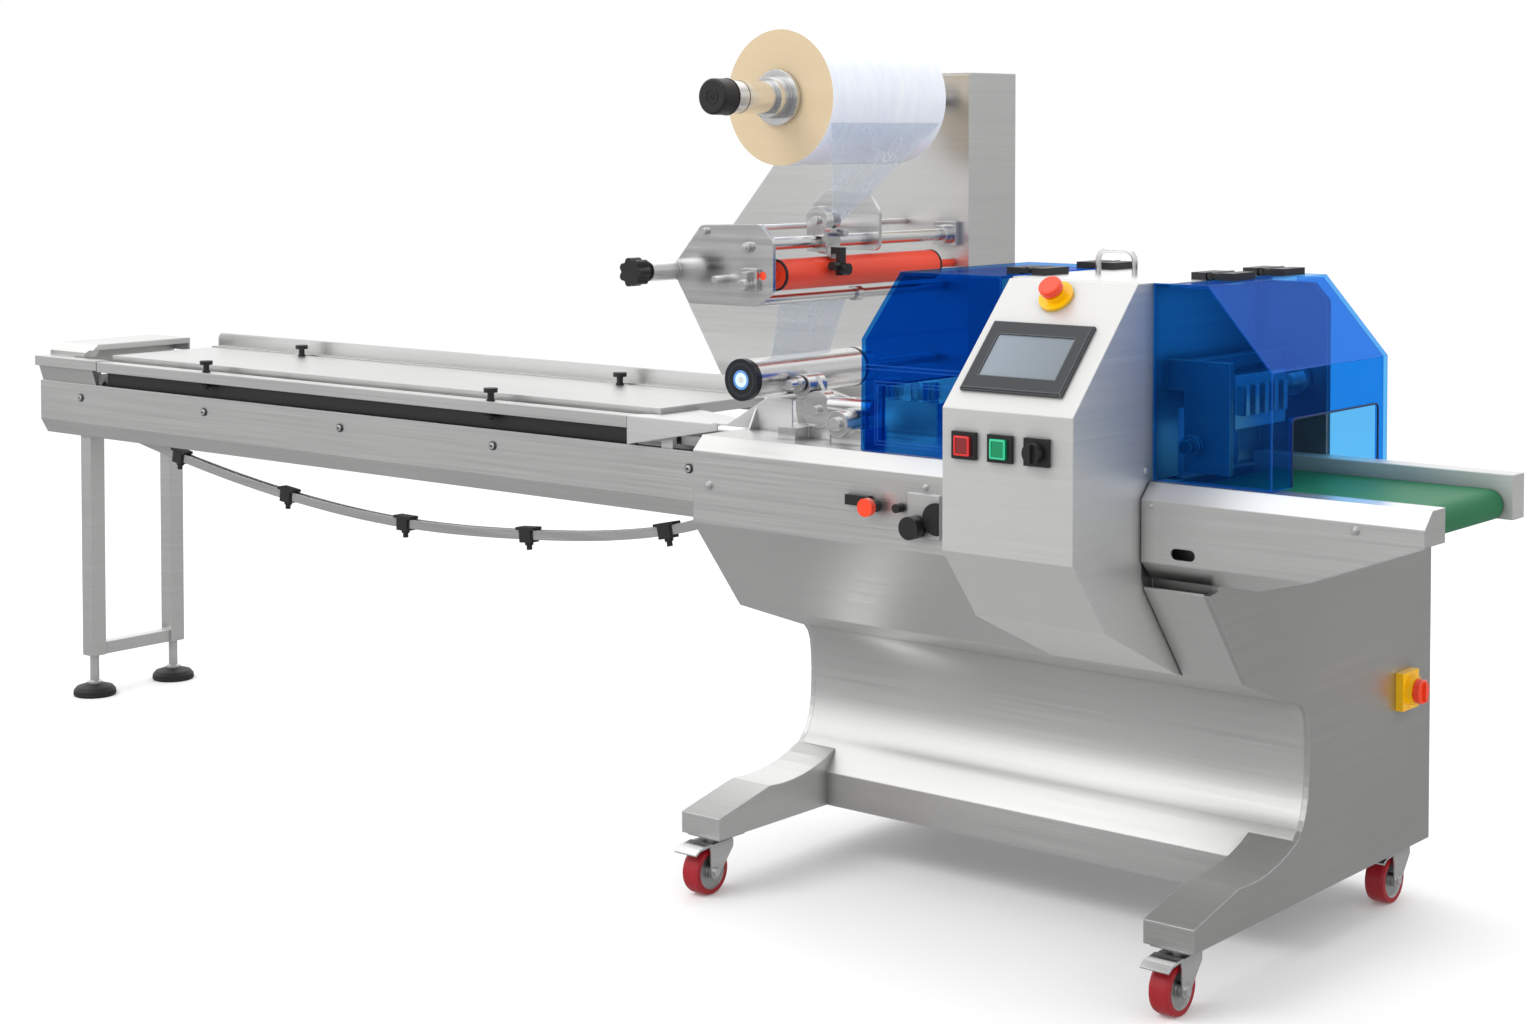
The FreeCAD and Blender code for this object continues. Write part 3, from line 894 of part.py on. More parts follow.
film_back = fuse([column, rear_plate, edge_flange, foot_plate]).cut(
    cyl_y(SHAFT_END_R + RUNNING_FIT, REAR_PLATE_Y - 1.0, REAR_PLATE_Y + 40.0, REEL_X, REEL_Z))
for x, z, r in ((RED_X, RED_Z, 8.0), (DRAW_X, DRAW_Z, 10.0)):
    film_back = film_back.cut(cyl_y(r + RUNNING_FIT, REAR_PLATE_Y - 1.0, REAR_PLATE_Y + PLATE8, x, z))
save("film_column", film_back)

# reel shaft with cone collars and a black end cap
shaft = fuse([cyl_y(REEL_SHAFT_R, -330.0, 300.0, REEL_X, REEL_Z),
              cyl_y(SHAFT_END_R, 300.0, REAR_PLATE_Y + 38.0, REEL_X, REEL_Z),
              cyl_y(34.0, -392.0 + 62.0, -392.0 + 64.0, REEL_X, REEL_Z),
              cyl_y(48.0, REEL_Y1, REEL_Y1 + 14.0, REEL_X, REEL_Z),
              cyl_y(52.0, REEL_Y0 - 12.0, REEL_Y0, REEL_X, REEL_Z),
              cyl_y(38.0, REEL_Y0 - 40.0, REEL_Y0 - 12.0, REEL_X, REEL_Z)])
cap = cyl_y(33.0, -346.0 - 24.0, -330.0, REEL_X, REEL_Z)
cap = cap.makeFillet(5.0, [e for e in cap.Edges if e.BoundBox.YMax < -369.9])
save("reel_shaft", shaft.fuse(cap))
roll = cyl_y(REEL_R, REEL_Y0, REEL_Y1, REEL_X, REEL_Z)
roll = roll.cut(cyl_y(REEL_SHAFT_R, REEL_Y0 - 1.0, REEL_Y1 + 1.0, REEL_X, REEL_Z))
save("film_roll", roll)

# front plate with star knob housing, tie rods and fixed guide rollers
def near_rod(points):
    """Plate corners given as offsets from the main rod, as (x, z) places."""
    return [(ROD_X + x, ROD_Z + z) for x, z in points]


hexagon = near_rod([(-140.0, 33.0), (3.0, 38.0), (34.0, 8.0), (34.0, -87.0), (-4.0, -114.0), (-170.0, -115.0),
                    (-198.0, -74.0), (-198.0, -33.0)])
KNOB_X = ROD_X - 210.0
KNOB_Z = ROD_Z - 53.0
CORNER_R = 14.0


def round_corners(plate, r):
    """Round every corner of a plate that lies across Y."""
    return plate.makeFillet(r, [e for e in plate.Edges if e.BoundBox.YLength > 1.0])


front_plate = round_corners(prism_y(hexagon, PLATE_FRONT_Y, PLATE_FRONT_Y + PLATE8), CORNER_R)
INNER_PLATE_Y = 58.0
inner_outline = near_rod([(-132.0, -22.0), (34.0, -22.0), (34.0, 54.0), (6.0, 94.0), (-96.0, 94.0), (-132.0, 62.0)])
inner_plate = round_corners(prism_y(inner_outline, INNER_PLATE_Y, INNER_PLATE_Y + PLATE8), CORNER_R)
housing = cyl_y(19.0, -335.0, -180.0, KNOB_X, KNOB_Z).cut(
    cyl_y(10.0 + RUNNING_FIT, -340.0, -170.0, KNOB_X, KNOB_Z))
gusset = box(KNOB_X + 8.0, KNOB_X + 38.0, PLATE_FRONT_Y, PLATE_FRONT_Y + PLATE8, KNOB_Z - 19.0, KNOB_Z + 19.0)
gusset = gusset.cut(cyl_y(19.0, -300.0, -200.0, KNOB_X, KNOB_Z))
plate_back = PLATE_FRONT_Y + PLATE8
rod_mount = fuse([box(ROD_X - 26.0, ROD_X + 28.0, REAR_PLATE_Y - 14.0, REAR_PLATE_Y, ROD_Z - 22.0, ROD_Z + 26.0),
                  cyl_y(19.0, REAR_PLATE_Y - 34.0, REAR_PLATE_Y - 14.0, ROD_X, ROD_Z)])
rods = [cyl_y(12.0, plate_back, REAR_PLATE_Y, ROD_X, ROD_Z),
        cyl_y(6.0, plate_back, REAR_PLATE_Y, ROD_X - 106.0, ROD_Z + 24.0),
        cyl_y(8.0, plate_back, REAR_PLATE_Y, ROD_X - 152.0, ROD_Z - 66.0)]
LOWER_ROD_X = ROD_X - 12.0
LOWER_ROD_Z = ROD_Z - 104.0
LOWER_ROD_R = 10.0
COLLAR_Y = 36.0
lower_rod = fuse([cyl_y(LOWER_ROD_R, plate_back, REAR_PLATE_Y, LOWER_ROD_X, LOWER_ROD_Z),
                  cyl_y(15.0, COLLAR_Y, COLLAR_Y + 16.0, LOWER_ROD_X, LOWER_ROD_Z)])
nuts = [cyl_y(9.0, PLATE_FRONT_Y - 10.0, PLATE_FRONT_Y, ROD_X - 24.0, ROD_Z - 5.0),
        cyl_y(5.0, PLATE_FRONT_Y - 14.0, PLATE_FRONT_Y - 10.0, ROD_X - 24.0, ROD_Z - 5.0),
        cyl_y(7.0, PLATE_FRONT_Y - 30.0, PLATE_FRONT_Y, ROD_X - 82.0, ROD_Z - 66.0),
        cyl_y(6.0, PLATE_FRONT_Y - 8.0, PLATE_FRONT_Y, ROD_X - 128.0, ROD_Z + 22.0)]
LATCH_X = ROD_X - 20.0
LATCH_Z = ROD_Z - 74.0
latch = fuse([box(LATCH_X - 14.0, LATCH_X + 22.0, PLATE_FRONT_Y - 8.0, PLATE_FRONT_Y, LATCH_Z - 10.0,
                  LATCH_Z + 30.0),
              cyl_y(10.0, PLATE_FRONT_Y - 26.0, PLATE_FRONT_Y - 8.0, LATCH_X, LATCH_Z),
              box(LATCH_X - 4.0, LATCH_X + 8.0, PLATE_FRONT_Y - 20.0, PLATE_FRONT_Y - 8.0, LATCH_Z,
                  LATCH_Z + 24.0)])
film_front = fuse([front_plate, inner_plate, housing, gusset, latch, lower_rod, rod_mount] + rods + nuts)
film_front = film_front.cut(cyl_y(8.0 + RUNNING_FIT, PLATE_FRONT_Y - 1.0, plate_back + 1.0, RED_X, RED_Z))
save("film_frame_front", film_front)

shaft_knob = cyl_y(10.0, -352.0, -182.0, KNOB_X, KNOB_Z)
star = cyl_y(22.0, -382.0, -352.0, KNOB_X, KNOB_Z)
for i in range(7):
    a = math.radians(360.0 / 7 * i)
    star = star.fuse(cyl_y(8.0, -382.0, -352.0, KNOB_X + 19.0 * math.cos(a), KNOB_Z + 19.0 * math.sin(a)))
save("star_knob", star.removeSplitter().fuse(shaft_knob))

red = fuse([cyl_y(RED_R, -227.0, 257.0, RED_X, RED_Z), cyl_y(8.0, PLATE_FRONT_Y + 0.5, REAR_PLATE_Y + PLATE8,
                                                            RED_X, RED_Z)])
save("red_roller", red)

# adjustable clamp with a pulley and a black clip on the main rod
CLAMP_Y = -72.0
WHEEL_X = ROD_X + 8.0
WHEEL_Z = ROD_Z + 40.0
WEB_WHEEL_R = 16.0
clamp = fuse([box(ROD_X - 22.0, ROD_X + 24.0, CLAMP_Y - 22.0, CLAMP_Y + 22.0, ROD_Z - 20.0, ROD_Z + 24.0),
              box(ROD_X - 10.0, ROD_X + 26.0, CLAMP_Y - 30.0, CLAMP_Y - 18.0, ROD_Z + 10.0, WHEEL_Z),
              cyl_y(27.0, CLAMP_Y - 30.0, CLAMP_Y - 12.0, WHEEL_X, WHEEL_Z),
              cyl_y(WEB_WHEEL_R, CLAMP_Y - 12.0, CLAMP_Y + 24.0, WHEEL_X, WHEEL_Z),
              cyl_y(8.0, CLAMP_Y - 38.0, CLAMP_Y - 30.0, WHEEL_X, WHEEL_Z),
              cyl_x(7.0, ROD_X + 8.0, ROD_X + 46.0, CLAMP_Y + 12.0, ROD_Z + 16.0),
              box(ROD_X + 4.0, ROD_X + 34.0, CLAMP_Y - 20.0, CLAMP_Y + 6.0, ROD_Z - 42.0, ROD_Z - 8.0)])
clamp = clamp.cut(cyl_y(12.0, CLAMP_Y - 60.0, CLAMP_Y + 60.0, ROD_X, ROD_Z))
clamp = clamp.cut(cyl_y(RED_R + 6.0, CLAMP_Y - 60.0, CLAMP_Y + 60.0, RED_X, RED_Z))
save("web_clamp", clamp)
clip = fuse([box(ROD_X + 34.0, ROD_X + 56.0, CLAMP_Y - 20.0, CLAMP_Y - 2.0, ROD_Z - 22.0, ROD_Z - 10.0),
             box(ROD_X + 46.0, ROD_X + 56.0, CLAMP_Y - 20.0, CLAMP_Y - 2.0, ROD_Z - 62.0, ROD_Z - 10.0),
             cyl_x(11.0, ROD_X + 56.0, ROD_X + 70.0, CLAMP_Y - 11.0, ROD_Z - 50.0),
             cyl_y(8.0, CLAMP_Y - 40.0, CLAMP_Y - 20.0, ROD_X + 51.0, ROD_Z - 44.0)])
save("clamp_clip", clip)

# draw roller over the former
draw = fuse([cyl_y(DRAW_R, -265.0, 88.0, DRAW_X, DRAW_Z), cyl_y(18.0, 88.0, 120.0, DRAW_X, DRAW_Z),
             cyl_y(10.0, 120.0, REAR_PLATE_Y + PLATE8, DRAW_X, DRAW_Z)])
draw_cap = cyl_y(DRAW_R + 1.5, -277.0, -265.0, DRAW_X, DRAW_Z)
save("draw_roller", draw.fuse(draw_cap))

# film web: thin clear sheets between the rollers
FILM_T = 0.8


def quad_sheet(corners, t):
    """Thin flat plate through four corners, thickened to one side."""
    a, b, c, d = corners
    n = (b - a).cross(d - a).normalize()
    d_flat = d - n * (d - a).dot(n)
    c_flat = c - n * (c - a).dot(n)
    return Part.Face(Part.makePolygon([a, b, c_flat, d_flat, a])).extrude(n * t)


def tangent_points(top, top_r, low, low_r, side):
    """Where a straight line touches two circles on the same side, as (x, z) places."""
    run = math.hypot(low[0] - top[0], low[1] - top[1])
    lean = math.asin((top_r - low_r) / run)
    a = math.atan2(low[1] - top[1], low[0] - top[0]) + side * (math.pi / 2 - lean)
    return [(c[0] + r * math.cos(a), c[1] + r * math.sin(a)) for c, r in ((top, top_r), (low, low_r))]


FILM_GAP = 0.15
y0 = REEL_Y0 + 4.0
y1 = REEL_Y1 - 4.0
# the upper sheet leaves the roll, narrows and runs on to the guide wheel; the lower one runs to the draw roller
inside = FILM_GAP + FILM_T
(ux0, uz0), (ux1, uz1) = tangent_points((REEL_X, REEL_Z), REEL_R + inside, (WHEEL_X, WHEEL_Z),
                                        WEB_WHEEL_R + inside, 1.0)
upper = quad_sheet([vec(ux0, y0, uz0), vec(ux0, y1, uz0), vec(ux1, CLAMP_Y + 21.0, uz1), vec(ux1, CLAMP_Y, uz1)],
                   FILM_T)
(lx0, lz0), (lx1, lz1) = tangent_points((LOWER_ROD_X, LOWER_ROD_Z), LOWER_ROD_R + FILM_GAP, (DRAW_X, DRAW_Z),
                                        DRAW_R + FILM_GAP, -1.0)
lower = quad_sheet([vec(lx0, y0, lz0), vec(lx0, COLLAR_Y - 2.0, lz0), vec(lx1, 20.0, lz1),
                    vec(lx1, -150.0, lz1)], FILM_T)
save("film_web", Part.makeCompound([upper, lower]))

# former: two folded wings over a base, and a chute to the table
base = box(364.0, 560.0, -150.0, -30.0, TABLE_Z, TABLE_Z + 3.0)
wall_a = prism_y([(400.0, TABLE_Z + 3.0), (560.0, TABLE_Z + 3.0), (560.0, 912.0), (500.0, 912.0)], -150.0, -147.0)
wall_b = prism_y([(400.0, TABLE_Z + 3.0), (560.0, TABLE_Z + 3.0), (560.0, 912.0), (500.0, 912.0)], -33.0, -30.0)
roof = box(500.0, 560.0, -150.0, -30.0, 909.0, 912.0)
nose = prism_x([(-150.0, TABLE_Z), (-172.0, TABLE_Z), (-150.0, TABLE_Z + 40.0)], 470.0, 474.0)
save("former", fuse([base, wall_a, wall_b, roof, nose]))

# fin-seal unit: bracket for the draw roller, wheel housings and links on the table
arm_plate = prism_y([(600.0, TABLE_Z), (660.0, TABLE_Z), (672.0, 905.0), (640.0, 960.0), (606.0, 975.0),
                     (590.0, 960.0), (590.0, 900.0)], -176.0, -166.0)
boss = fuse([cyl_y(22.0, -200.0, -150.0, 622.0, 945.0), cyl_y(9.0, -236.0, -200.0, 622.0, 950.0),
             cyl_y(14.0, -214.0, -204.0, 622.0, 950.0)])
wheel_a = fuse([cyl_y(34.0, -206.0, -176.0, 664.0, 905.0), cyl_y(8.0, -214.0, -206.0, 664.0, 905.0),
                box(640.0, 690.0, -200.0, -160.0, TABLE_Z, 890.0)])
wheel_b = fuse([cyl_y(24.0, -244.0, -180.0, 740.0, 888.0), cyl_y(12.0, -252.0, -244.0, 740.0, 888.0),
                box(716.0, 790.0, -230.0, -160.0, TABLE_Z, 880.0), cyl_x(15.0, 690.0, 790.0, -196.0, 916.0)])
link = prism_y([(640.0, 900.0), (664.0, 940.0), (752.0, 920.0), (752.0, 890.0)], -176.0, -168.0)
block = box(600.0, 640.0, -240.0, -176.0, TABLE_Z, TABLE_Z + 22.0)
rear_blk = fuse([box(610.0, 800.0, -20.0, 60.0, TABLE_Z, TABLE_Z + 60.0), cyl_z(28.0, TABLE_Z + 60.0, 945.0, 660.0, 20.0),
                 cyl_z(28.0, TABLE_Z + 60.0, 945.0, 745.0, 20.0)])
save("fin_unit", Part.makeCompound([fuse([arm_plate, boss, wheel_a, wheel_b, link, block]), rear_blk]))
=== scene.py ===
# %% [markdown]
# # A horizontal flow wrapper, finished in Blender
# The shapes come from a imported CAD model, so nothing is placed by eye. This lesson loads that model, points
# a camera at it, lights it like a catalogue picture and gives each piece a finish built from shader nodes.

# %% Load the frame
import json
import math
import bmesh
import bpy
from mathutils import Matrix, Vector


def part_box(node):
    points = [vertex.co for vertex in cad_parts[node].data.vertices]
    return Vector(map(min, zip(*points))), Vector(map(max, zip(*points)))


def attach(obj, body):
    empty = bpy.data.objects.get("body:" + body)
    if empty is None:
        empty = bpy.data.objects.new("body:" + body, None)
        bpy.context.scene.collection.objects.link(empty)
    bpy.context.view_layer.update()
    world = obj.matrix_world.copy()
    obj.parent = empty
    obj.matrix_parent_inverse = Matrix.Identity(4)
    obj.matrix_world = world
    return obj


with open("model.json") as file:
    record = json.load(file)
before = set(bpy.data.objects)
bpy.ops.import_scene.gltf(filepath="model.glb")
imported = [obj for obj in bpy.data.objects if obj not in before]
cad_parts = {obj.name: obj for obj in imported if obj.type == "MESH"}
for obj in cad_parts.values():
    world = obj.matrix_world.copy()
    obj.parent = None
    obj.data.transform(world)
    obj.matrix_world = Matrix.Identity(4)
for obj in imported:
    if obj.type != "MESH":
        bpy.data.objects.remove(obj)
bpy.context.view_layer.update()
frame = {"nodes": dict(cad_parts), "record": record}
nodes = frame["nodes"]
print("nodes loaded:", len(nodes))

# %% [markdown]
# ## The camera
# The machine is seen from its right front corner, from about the height of a person's chest. A lens shift
# keeps the upright edges upright while the frame looks down, as a view camera does. Tilting the whole
# camera instead would make the columns lean.

# %% Camera
CAMERA_PLACE = (3.493, -3.739, 1.410)
CAMERA_TURN = 39.696
CAMERA_TILT = 2.02
LENS_MM = 58.38
SHIFT_DOWN = 0.193
camera_data = bpy.data.cameras.new("product_camera")
camera_data.sensor_fit = "HORIZONTAL"
camera_data.lens = LENS_MM
camera_data.shift_y = -SHIFT_DOWN
camera = bpy.data.objects.new("product_camera", camera_data)
camera.location = CAMERA_PLACE
camera.rotation_euler = (math.radians(90.0 - CAMERA_TILT), 0.0, math.radians(CAMERA_TURN))
scene = bpy.context.scene
scene.collection.objects.link(camera)
scene.camera = camera
scene.view_settings.view_transform = "Standard"
scene.view_settings.look = "None"
print("camera at", tuple(round(c, 3) for c in camera.location))

# %% [markdown]
# ## A small shader helper
# Every finish below is a Principled shader with a few textures wired into it. These helpers keep the cells
# short: they start a material, add a node, put a finished material on pieces, fill a colour ramp, and
# measure how far a point lies from the axle of a round piece.


# %% Shader helpers
def new_finish(name):
    material = bpy.data.materials.new(name)
    material.use_nodes = True
    tree = material.node_tree
    return material, tree, tree.nodes["Principled BSDF"]


def add(tree, kind, links=(), **values):
    node = tree.nodes.new(kind)
    for key, value in values.items():
        if hasattr(node, key):
            setattr(node, key, value)
        else:
            node.inputs[key.replace("_", " ")].default_value = value
    for socket, source in links:
        tree.links.new(source, node.inputs[socket])
    return node


def wear(material, *names):
    for name in names:
        slots = nodes[name].data.materials
        slots.clear()
        slots.append(material)
    return material


def object_point(tree):
    return add(tree, "ShaderNodeTexCoord").outputs["Object"]


def true_normal(tree):
    return add(tree, "ShaderNodeNewGeometry").outputs["Normal"]


def fill_ramp(ramp, stops):
    """A new ramp has two stops, so the others are added before all of them are set."""
    elements = ramp.color_ramp.elements
    for place, _ in stops[2:]:
        elements.new(place)
    for element, (place, colour) in zip(elements, stops):
        element.position = place
        element.color = colour + (1.0,)


def from_axle(tree, name):
    """Distance from a round node's axle, as a socket, and the node's own radius."""
    low, high = (Vector(c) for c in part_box(name))
    flat = add(tree, "ShaderNodeVectorMath", [(0, object_point(tree))], operation="MULTIPLY")
    flat.inputs[1].default_value = (1.0, 0.0, 1.0)
    apart = add(tree, "ShaderNodeVectorMath", [(0, flat.outputs[0])], operation="DISTANCE")
    apart.inputs[1].default_value = ((low.x + high.x) / 2, 0.0, (low.z + high.z) / 2)
    return apart.outputs["Value"], (high.x - low.x) / 2


print("helpers ready")

# %% [markdown]
# ## Painted highlights on the bends and painted shade in the seams
# Folded steel never ends in a knife edge: each bend catches a thin line of light, and each joint holds a
# thin line of shade. Cutting real bevels into every part would change the CAD mesh. Instead the shader
# compares the true normal with a rounded one to find the bends and paints a highlight into the colour
# there, and an occlusion node finds the joints and paints shade into the colour. The same node with a
# longer reach finds the wide hollow under the body and paints shade there too.


# %% Bend and seam finders
BEND_RADIUS = 0.003
# how far a shade reaches in metres, and how open a place is where the shade is deepest and where it ends
SEAM_SHADE = (0.03, 0.15, 0.75)
HOLLOW_SHADE = (0.3, 0.25, 0.62)


def rounded_normal(tree):
    bend = add(tree, "ShaderNodeBevel", Radius=BEND_RADIUS)
    bend.samples = 2
    return bend.outputs["Normal"]


def bend_mask(tree, rounded, strength):
    same = add(tree, "ShaderNodeVectorMath", [(0, rounded), (1, true_normal(tree))], operation="DOT_PRODUCT")
    mask = add(tree, "ShaderNodeMapRange", [("Value", same.outputs["Value"])], From_Min=0.995, From_Max=0.88,
               To_Max=strength)
    return mask.outputs[0]


def shade_mask(tree, kind, darkest):
    reach, deepest, ends = kind
    shade = add(tree, "ShaderNodeAmbientOcclusion", Distance=reach)
    shade.samples = 2
    mask = add(tree, "ShaderNodeMapRange", [("Value", shade.outputs["AO"])], From_Min=deepest, From_Max=ends,
               To_Min=darkest)
    return mask.outputs[0]


print("bends within", BEND_RADIUS, "m")

# %% [markdown]
# ## Brushed stainless steel
# Nearly everything here is satin stainless sheet. Its grain is thousands of fine parallel scratches, so the
# texture is a noise stretched until it becomes lines. Upright faces take lines that run along the machine
# and level faces take lines that run the same way in plan. The same noise drives colour, roughness and a
# faint bump.


# %% Steel
def grain_lines(tree, point, grain):
    upright = add(tree, "ShaderNodeMapping", [("Vector", point)], Scale=(2.5, 2.5, grain))
    level = add(tree, "ShaderNodeMapping", [("Vector", point)], Scale=(2.5, grain, 2.5))
    line_a = add(tree, "ShaderNodeTexNoise", [("Vector", upright.outputs[0])], Scale=1.0, Detail=3.0)
    line_b = add(tree, "ShaderNodeTexNoise", [("Vector", level.outputs[0])], Scale=1.0, Detail=3.0)
    split = add(tree, "ShaderNodeSeparateXYZ", [("Vector", true_normal(tree))])
    flat = add(tree, "ShaderNodeMath", [(0, split.outputs["Z"])], operation="ABSOLUTE")
    return add(tree, "ShaderNodeMix", [(0, flat.outputs[0]), (2, line_a.outputs["Fac"]),
                                       (3, line_b.outputs["Fac"])]).outputs[0]


def steel(name, colour, rough, grain=420.0, bend=0.9, painted_seam_shade=0.25, metal=1.0, painted_hollow_shade=None):
    material, tree, shader = new_finish(name)
    point = object_point(tree)
    lines = grain_lines(tree, point, grain)
    broad = add(tree, "ShaderNodeTexNoise", [("Vector", point)], Scale=1.6, Detail=2.0)
    tone = add(tree, "ShaderNodeMapRange", [("Value", lines)], From_Min=0.3, From_Max=0.7, To_Min=0.965,
               To_Max=1.03)
    cloud = add(tree, "ShaderNodeMapRange", [("Value", broad.outputs["Fac"])], From_Min=0.3, From_Max=0.7,
                To_Min=0.96, To_Max=1.03)
    both = add(tree, "ShaderNodeMath", [(0, tone.outputs[0]), (1, cloud.outputs[0])], operation="MULTIPLY")
    # painted shade: the colour is darkened where the occlusion node finds seams, and also in the wide hollow
    # under the body when that is asked for
    dimmed = add(tree, "ShaderNodeMath", [(0, both.outputs[0]), (1, shade_mask(tree, SEAM_SHADE, painted_seam_shade))],
                 operation="MULTIPLY")
    if painted_hollow_shade:
        wide = shade_mask(tree, HOLLOW_SHADE, painted_hollow_shade)
        dimmed = add(tree, "ShaderNodeMath", [(0, dimmed.outputs[0]), (1, wide)], operation="MULTIPLY")
    tint = add(tree, "ShaderNodeVectorMath", [("Scale", dimmed.outputs[0])], operation="SCALE")
    tint.inputs[0].default_value = colour
    rounded = rounded_normal(tree)
    # painted highlight: the colour turns white on the bends, as if they caught a line of light
    mask = bend_mask(tree, rounded, bend)
    paint = add(tree, "ShaderNodeMix", [(0, mask), (6, tint.outputs[0])], data_type="RGBA")
    paint.inputs[7].default_value = (1.0, 1.0, 1.0, 1.0)
    tree.links.new(paint.outputs[2], shader.inputs["Base Color"])
    gloss = add(tree, "ShaderNodeMapRange", [("Value", lines)], From_Min=0.3, From_Max=0.7,
                To_Min=rough - 0.05, To_Max=rough + 0.07)
    tree.links.new(gloss.outputs[0], shader.inputs["Roughness"])
    bump = add(tree, "ShaderNodeBump", [("Height", lines), ("Normal", rounded)], Strength=0.03,
               Distance=0.0003)
    tree.links.new(bump.outputs[0], shader.inputs["Normal"])
    shader.inputs["Metallic"].default_value = metal
    return material


sheet_steel = steel("sheet_steel", (0.86, 0.86, 0.85), 0.34)
# painted shade: the body's colour darkens in the hollow under its belly
body_steel = steel("body_steel", (0.88, 0.88, 0.87), 0.36, painted_hollow_shade=0.3)
# painted shade: a darker copy of the sheet steel stands in for the darker look of the right end plate
shaded_plate_steel = steel("shaded_plate_steel", (0.64, 0.64, 0.63), 0.36)
bright_steel = steel("bright_steel", (0.88, 0.88, 0.88), 0.18, 90.0)
pale_steel = steel("pale_steel", (0.95, 0.95, 0.95), 0.42)
satin_steel = steel("satin_steel", (0.68, 0.68, 0.67), 0.45, metal=0.7)
# painted shade: a near-black copy of the steel stands in for the dark under the infeed lip
shadow_steel = steel("shadow_steel", (0.10, 0.10, 0.10), 0.5, bend=0.2)
# a darker steel for the end sealer frame, which lowers how bright it shows through the guards
dark_steel = steel("dark_steel", (0.34, 0.34, 0.35), 0.35, 60.0)
wear(body_steel, "body_core")
wear(shaded_plate_steel, "end_plate_right")
wear(sheet_steel, "end_plate_left", "lower_covers", "fascia_left", "fascia_right",
     "table_top", "infeed_sides", "infeed_decks", "infeed_guide_rear", "infeed_frame",
     "tail_cover", "film_column", "guard_bridge")
wear(satin_steel, "console_housing", "discharge_frame")
wear(pale_steel, "transfer_plate", "former")
wear(dark_steel, "end_sealer_frame")
wear(bright_steel, "film_frame_front", "fin_unit", "sealing_jaw", "web_clamp",
     "reel_shaft", "draw_roller", "belt_rollers", "lug_chain", "caster_fork_fl", "caster_fork_fr",
     "caster_fork_bl", "caster_fork_br")
steels = (sheet_steel, body_steel, shaded_plate_steel, bright_steel, pale_steel, satin_steel, dark_steel)
print("steel on", sum(1 for n in nodes.values() if n.data.materials[0] in steels), "nodes")

# %% [markdown]
# ## A smooth waist
# The hollow waist of the body is one rolled sheet, and the CAD mesh gives it in long flat strips. Welding
# the strips, splitting only at the true corners and weighting each normal by its face's size lets the light
# run smoothly across the curve. The corners of the mesh stay where they are.


# %% Waist
def smooth_sheet(name, sharpest):
    piece = nodes[name]
    piece.data.polygons.foreach_set("use_smooth", [True] * len(piece.data.polygons))
    weld = piece.modifiers.new("weld", "WELD")
    weld.merge_threshold = 0.00002
    split = piece.modifiers.new("corners", "EDGE_SPLIT")
    split.split_angle = math.radians(sharpest)
    normals = piece.modifiers.new("normals", "WEIGHTED_NORMAL")
    normals.weight = 80
    return len(piece.data.polygons)


print("waist faces smoothed:", smooth_sheet("body_core", 24.0))

# %% [markdown]
# ## Moulded plastic and rubber
# Knobs, feet, the belt, the red roller and the wheel treads are plastic or rubber. They are not metallic,
# and what tells them apart is how wide the highlight is and how grainy the skin is. One function with a
# fine noise bump covers them all.


# %% Plastics and rubbers
def moulded(name, colour, rough, bump_size=900.0, bump_depth=0.15, coat=0.0, painted_edge_light=0.0):
    material, tree, shader = new_finish(name)
    point = object_point(tree)
    fine = add(tree, "ShaderNodeTexNoise", [("Vector", point)], Scale=bump_size, Detail=2.0)
    blotch = add(tree, "ShaderNodeTexNoise", [("Vector", point)], Scale=9.0, Detail=3.0)
    ramp = add(tree, "ShaderNodeMix", [("Factor", blotch.outputs["Fac"])], data_type="RGBA")
    ramp.inputs[6].default_value = tuple(c * 0.88 for c in colour) + (1.0,)
    ramp.inputs[7].default_value = tuple(min(c * 1.12, 1.0) for c in colour) + (1.0,)
    tree.links.new(ramp.outputs[2], shader.inputs["Base Color"])
    # painted highlight: a lighter grey is mixed into the colour on the bends, standing in for light along the
    # edge
    if painted_edge_light:
        edge_light_mix = add(tree, "ShaderNodeMix", [(0, bend_mask(tree, rounded_normal(tree), painted_edge_light)),
                                          (6, ramp.outputs[2])], data_type="RGBA")
        edge_light_mix.inputs[7].default_value = (0.35, 0.36, 0.37, 1.0)
        tree.links.new(edge_light_mix.outputs[2], shader.inputs["Base Color"])
    wave = add(tree, "ShaderNodeMapRange", [("Value", blotch.outputs["Fac"])], To_Min=rough - 0.06,
               To_Max=rough + 0.06)
    tree.links.new(wave.outputs[0], shader.inputs["Roughness"])
    bump = add(tree, "ShaderNodeBump", [("Height", fine.outputs["Fac"])], Strength=bump_depth,
               Distance=0.0002)
    tree.links.new(bump.outputs[0], shader.inputs["Normal"])
    shader.inputs["Coat Weight"].default_value = coat
    return material


black_plastic = moulded("black_plastic", (0.012, 0.012, 0.013), 0.42)
black_rubber = moulded("black_rubber", (0.010, 0.010, 0.011), 0.5, 400.0, 0.3)
belt_green = moulded("belt_green", (0.003, 0.15, 0.055), 0.55, 700.0, 0.3)
roller_red = moulded("roller_red", (0.88, 0.06, 0.02), 0.36)
tread_red = moulded("tread_red", (0.32, 0.004, 0.012), 0.4)
signal_red = moulded("signal_red", (0.85, 0.05, 0.01), 0.25, coat=0.5)
signal_yellow = moulded("signal_yellow", (0.95, 0.5, 0.0), 0.3, coat=0.3)
signal_green = moulded("signal_green", (0.0, 0.22, 0.09), 0.28, coat=0.4)
lens_red = moulded("lens_red", (0.20, 0.015, 0.015), 0.3, coat=0.3)
